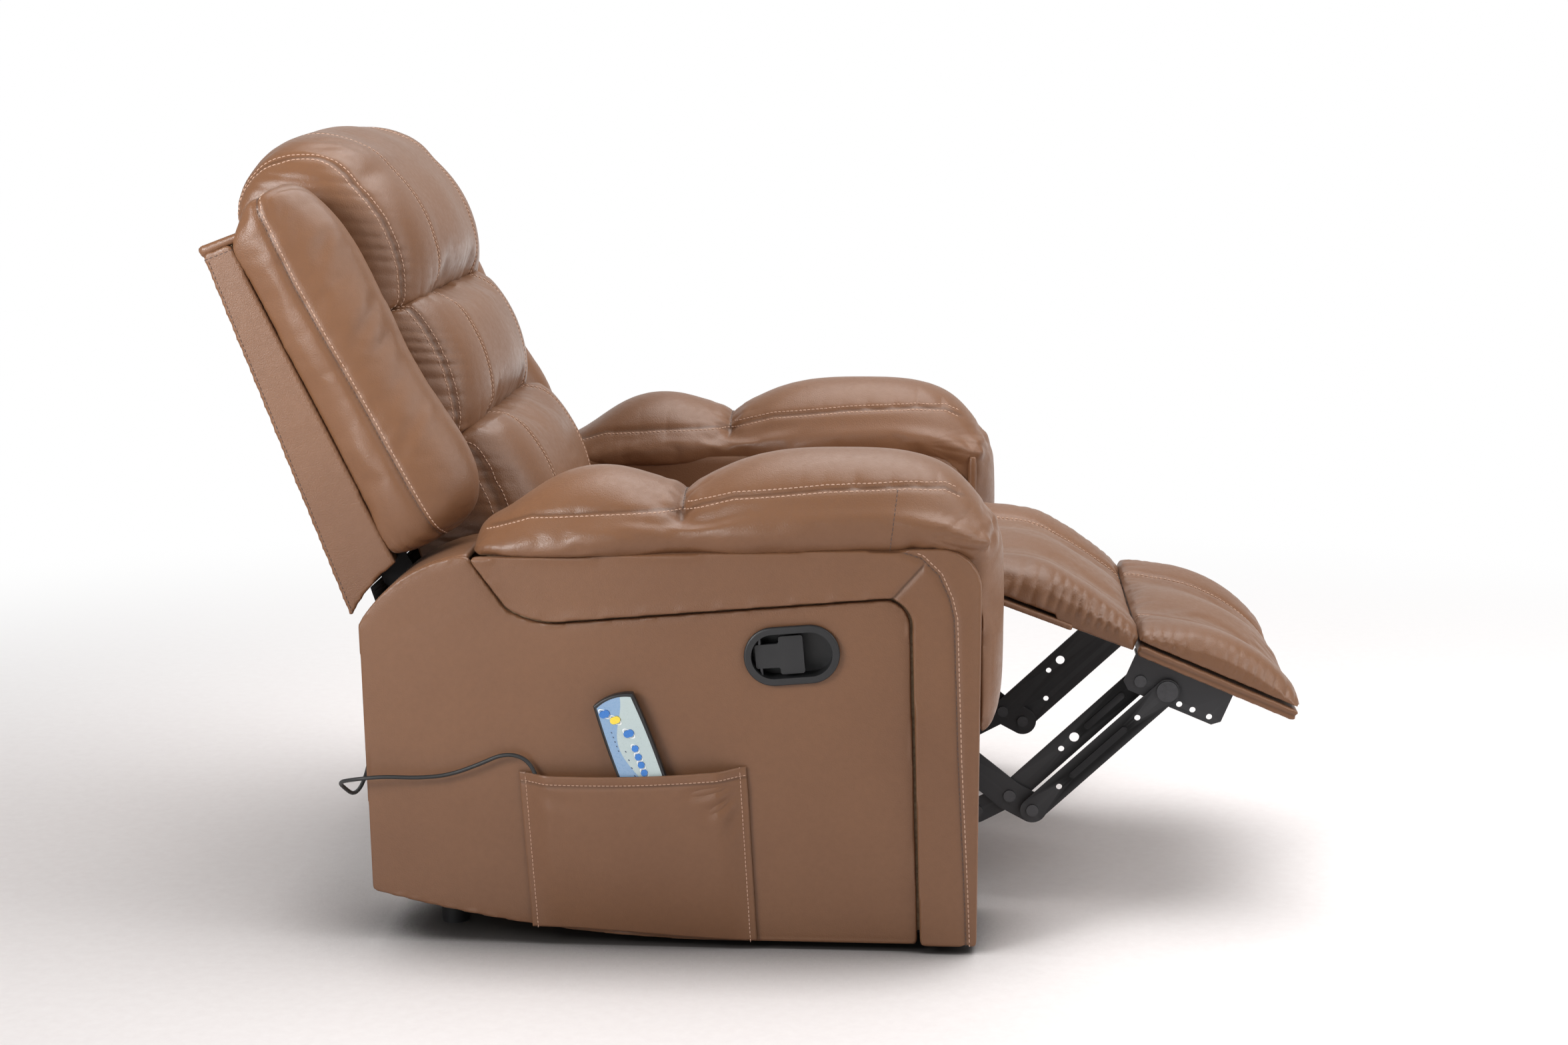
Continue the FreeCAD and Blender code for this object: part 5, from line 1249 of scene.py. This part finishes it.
def skirt_cloth(top, bottom):
    """Sheet that hangs in shallow waves between two edges, each given by its (z, x)."""
    across, down = 160, 44
    verts = []
    for j in range(down + 1):
        v = j / down
        z, x = (a + (b - a) * v for a, b in zip(top, bottom))
        for i in range(across + 1):
            u = i / across
            wave = 0.0035 * (math.sin(31 * u + 2 * v) + 0.6 * math.sin(13 * u)) + 0.004
            verts.append((x + math.sin(math.pi * v) * wave, SKIRT_WIDTH * (u - 0.5), z))
    return new_object("rear_skirt_cloth", verts, quads(down + 1, across + 1))


skirt_edges = sorted((v.co.z, v.co.x) for v in nodes["rear_skirt"].data.vertices)
skirt = skirt_cloth(skirt_edges[-1], skirt_edges[0])
wear(skirt, "black_cloth")
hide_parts("rear_skirt")
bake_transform(skirt)

heat = soft_copy("heating_cover", islands("heating_pad"), 2, 1)
dress(heat, "black_cloth", "back", "black_cloth", "heating_pad")


# Stage

WHITE = (1, 1, 1, 1)
FADE_FROM = (0.1, -0.9, 0)  # round this place the floor is seen, farther off it turns white


def floor_material():
    """Pale floor with a painted contact shadow close under things, that fades into white."""
    tree, bsdf = shader("studio_floor", 0.75)
    c = add(tree, "ShaderNodeTexCoord").outputs["Object"]
    away = add(tree, "ShaderNodeVectorMath", [(c, 0)], operation="DISTANCE")
    away.inputs[1].default_value = FADE_FROM
    speck = noise(tree, c, 60, 6, 0.7)
    tone = mixed(tree, spread(tree, speck, 0, 1), (0.86, 0.815, 0.805), (0.90, 0.86, 0.85))
    # Painted contact shadow: ambient occlusion turns the floor's colour near black close under the chair.
    painted_shadow_ao = add(tree, "ShaderNodeAmbientOcclusion", Distance=0.26)
    outside_painted_shadow = spread(tree, painted_shadow_ao.outputs["AO"], 0, 1, 0.36, 0.90)
    feed(tree, bsdf, mixed(tree, outside_painted_shadow, (0.045, 0.040, 0.038), tone))
    white = add(tree, "ShaderNodeEmission", Color=WHITE)
    fade = spread(tree, away.outputs["Value"], 0, 1, 1.45, 3.5, interpolation_type="SMOOTHSTEP")
    both = add(tree, "ShaderNodeMixShader", [(fade, 0), (bsdf.outputs[0], 1), (white.outputs[0], 2)])
    out = [n for n in tree.nodes if n.type == "OUTPUT_MATERIAL"][0]
    tree.links.new(both.outputs[0], out.inputs[0])


def white_world(light):
    """World that lights the scene a little and is plain white to the camera."""
    world = bpy.data.worlds.new("studio")
    world.use_nodes = True
    tree = world.node_tree
    tree.nodes.clear()
    sky = add(tree, "ShaderNodeBackground", Color=WHITE, Strength=light)
    plain = add(tree, "ShaderNodeBackground", Color=WHITE, Strength=1)
    to_camera = add(tree, "ShaderNodeLightPath").outputs["Is Camera Ray"]
    mix = add(tree, "ShaderNodeMixShader", [(to_camera, 0), (sky.outputs[0], 1), (plain.outputs[0], 2)])
    add(tree, "ShaderNodeOutputWorld", [(mix.outputs[0], "Surface")])
    return world


def lamp(name, spot, aim, size, power, beam=180, gloss_only=False):
    data = bpy.data.lights.new(name, "AREA")
    data.shape = "RECTANGLE"
    data.size, data.size_y = size
    data.energy = power
    data.spread = math.radians(beam)
    obj = show(name, data)
    obj.location = spot
    obj.rotation_euler = (Vector(aim) - Vector(spot)).to_track_quat("-Z", "Y").to_euler()
    obj.visible_camera = False
    obj.visible_diffuse = not gloss_only


floor_material()
floor = new_object("floor", [(-14, -10, 0), (14, -10, 0), (14, 18, 0), (-14, 18, 0)], [(0, 1, 2, 3)], False)
wear(floor, "studio_floor")
bpy.context.scene.world = white_world(0.28)

lamp("overhead", (0.6, 0.5, 3.1), (0.2, -0.1, 0.3), (3.2, 2.4), 92)
lamp("front_right", (2.9, -0.6, 1.7), (0.2, 0, 0.5), (1.8, 1.8), 34)
lamp("camera_right", (1.7, -2.1, 2.1), (-0.4, -0.35, 0.8), (1.6, 1.2), 14)
lamp("camera_left", (-1.6, -1.8, 1.4), (-0.55, -0.39, 0.85), (0.9, 0.9), 8, beam=70)
lamp("low_left", (-1.6, -3.5, 0.62), (-0.5, 0, 0.62), (1.5, 1.1), 22, gloss_only=True)
lamp("backdrop", (0.2, 3.4, 1.6), (0.2, 0, 1), (5, 2.8), 18)

CAMERA_TILT, CAMERA_TURN = 10.271, 3.567  # degrees below level, and to the left of straight on
camera = show("camera", bpy.data.cameras.new("camera"))
camera.location = (0.22678, -3.58260, 1.11663)
camera.rotation_euler = (math.radians(90 - CAMERA_TILT), 0, math.radians(CAMERA_TURN))
camera.data.lens = 60
camera.data.sensor_width = 36
bpy.context.scene.camera = camera
bpy.context.scene.view_settings.view_transform = "Standard"
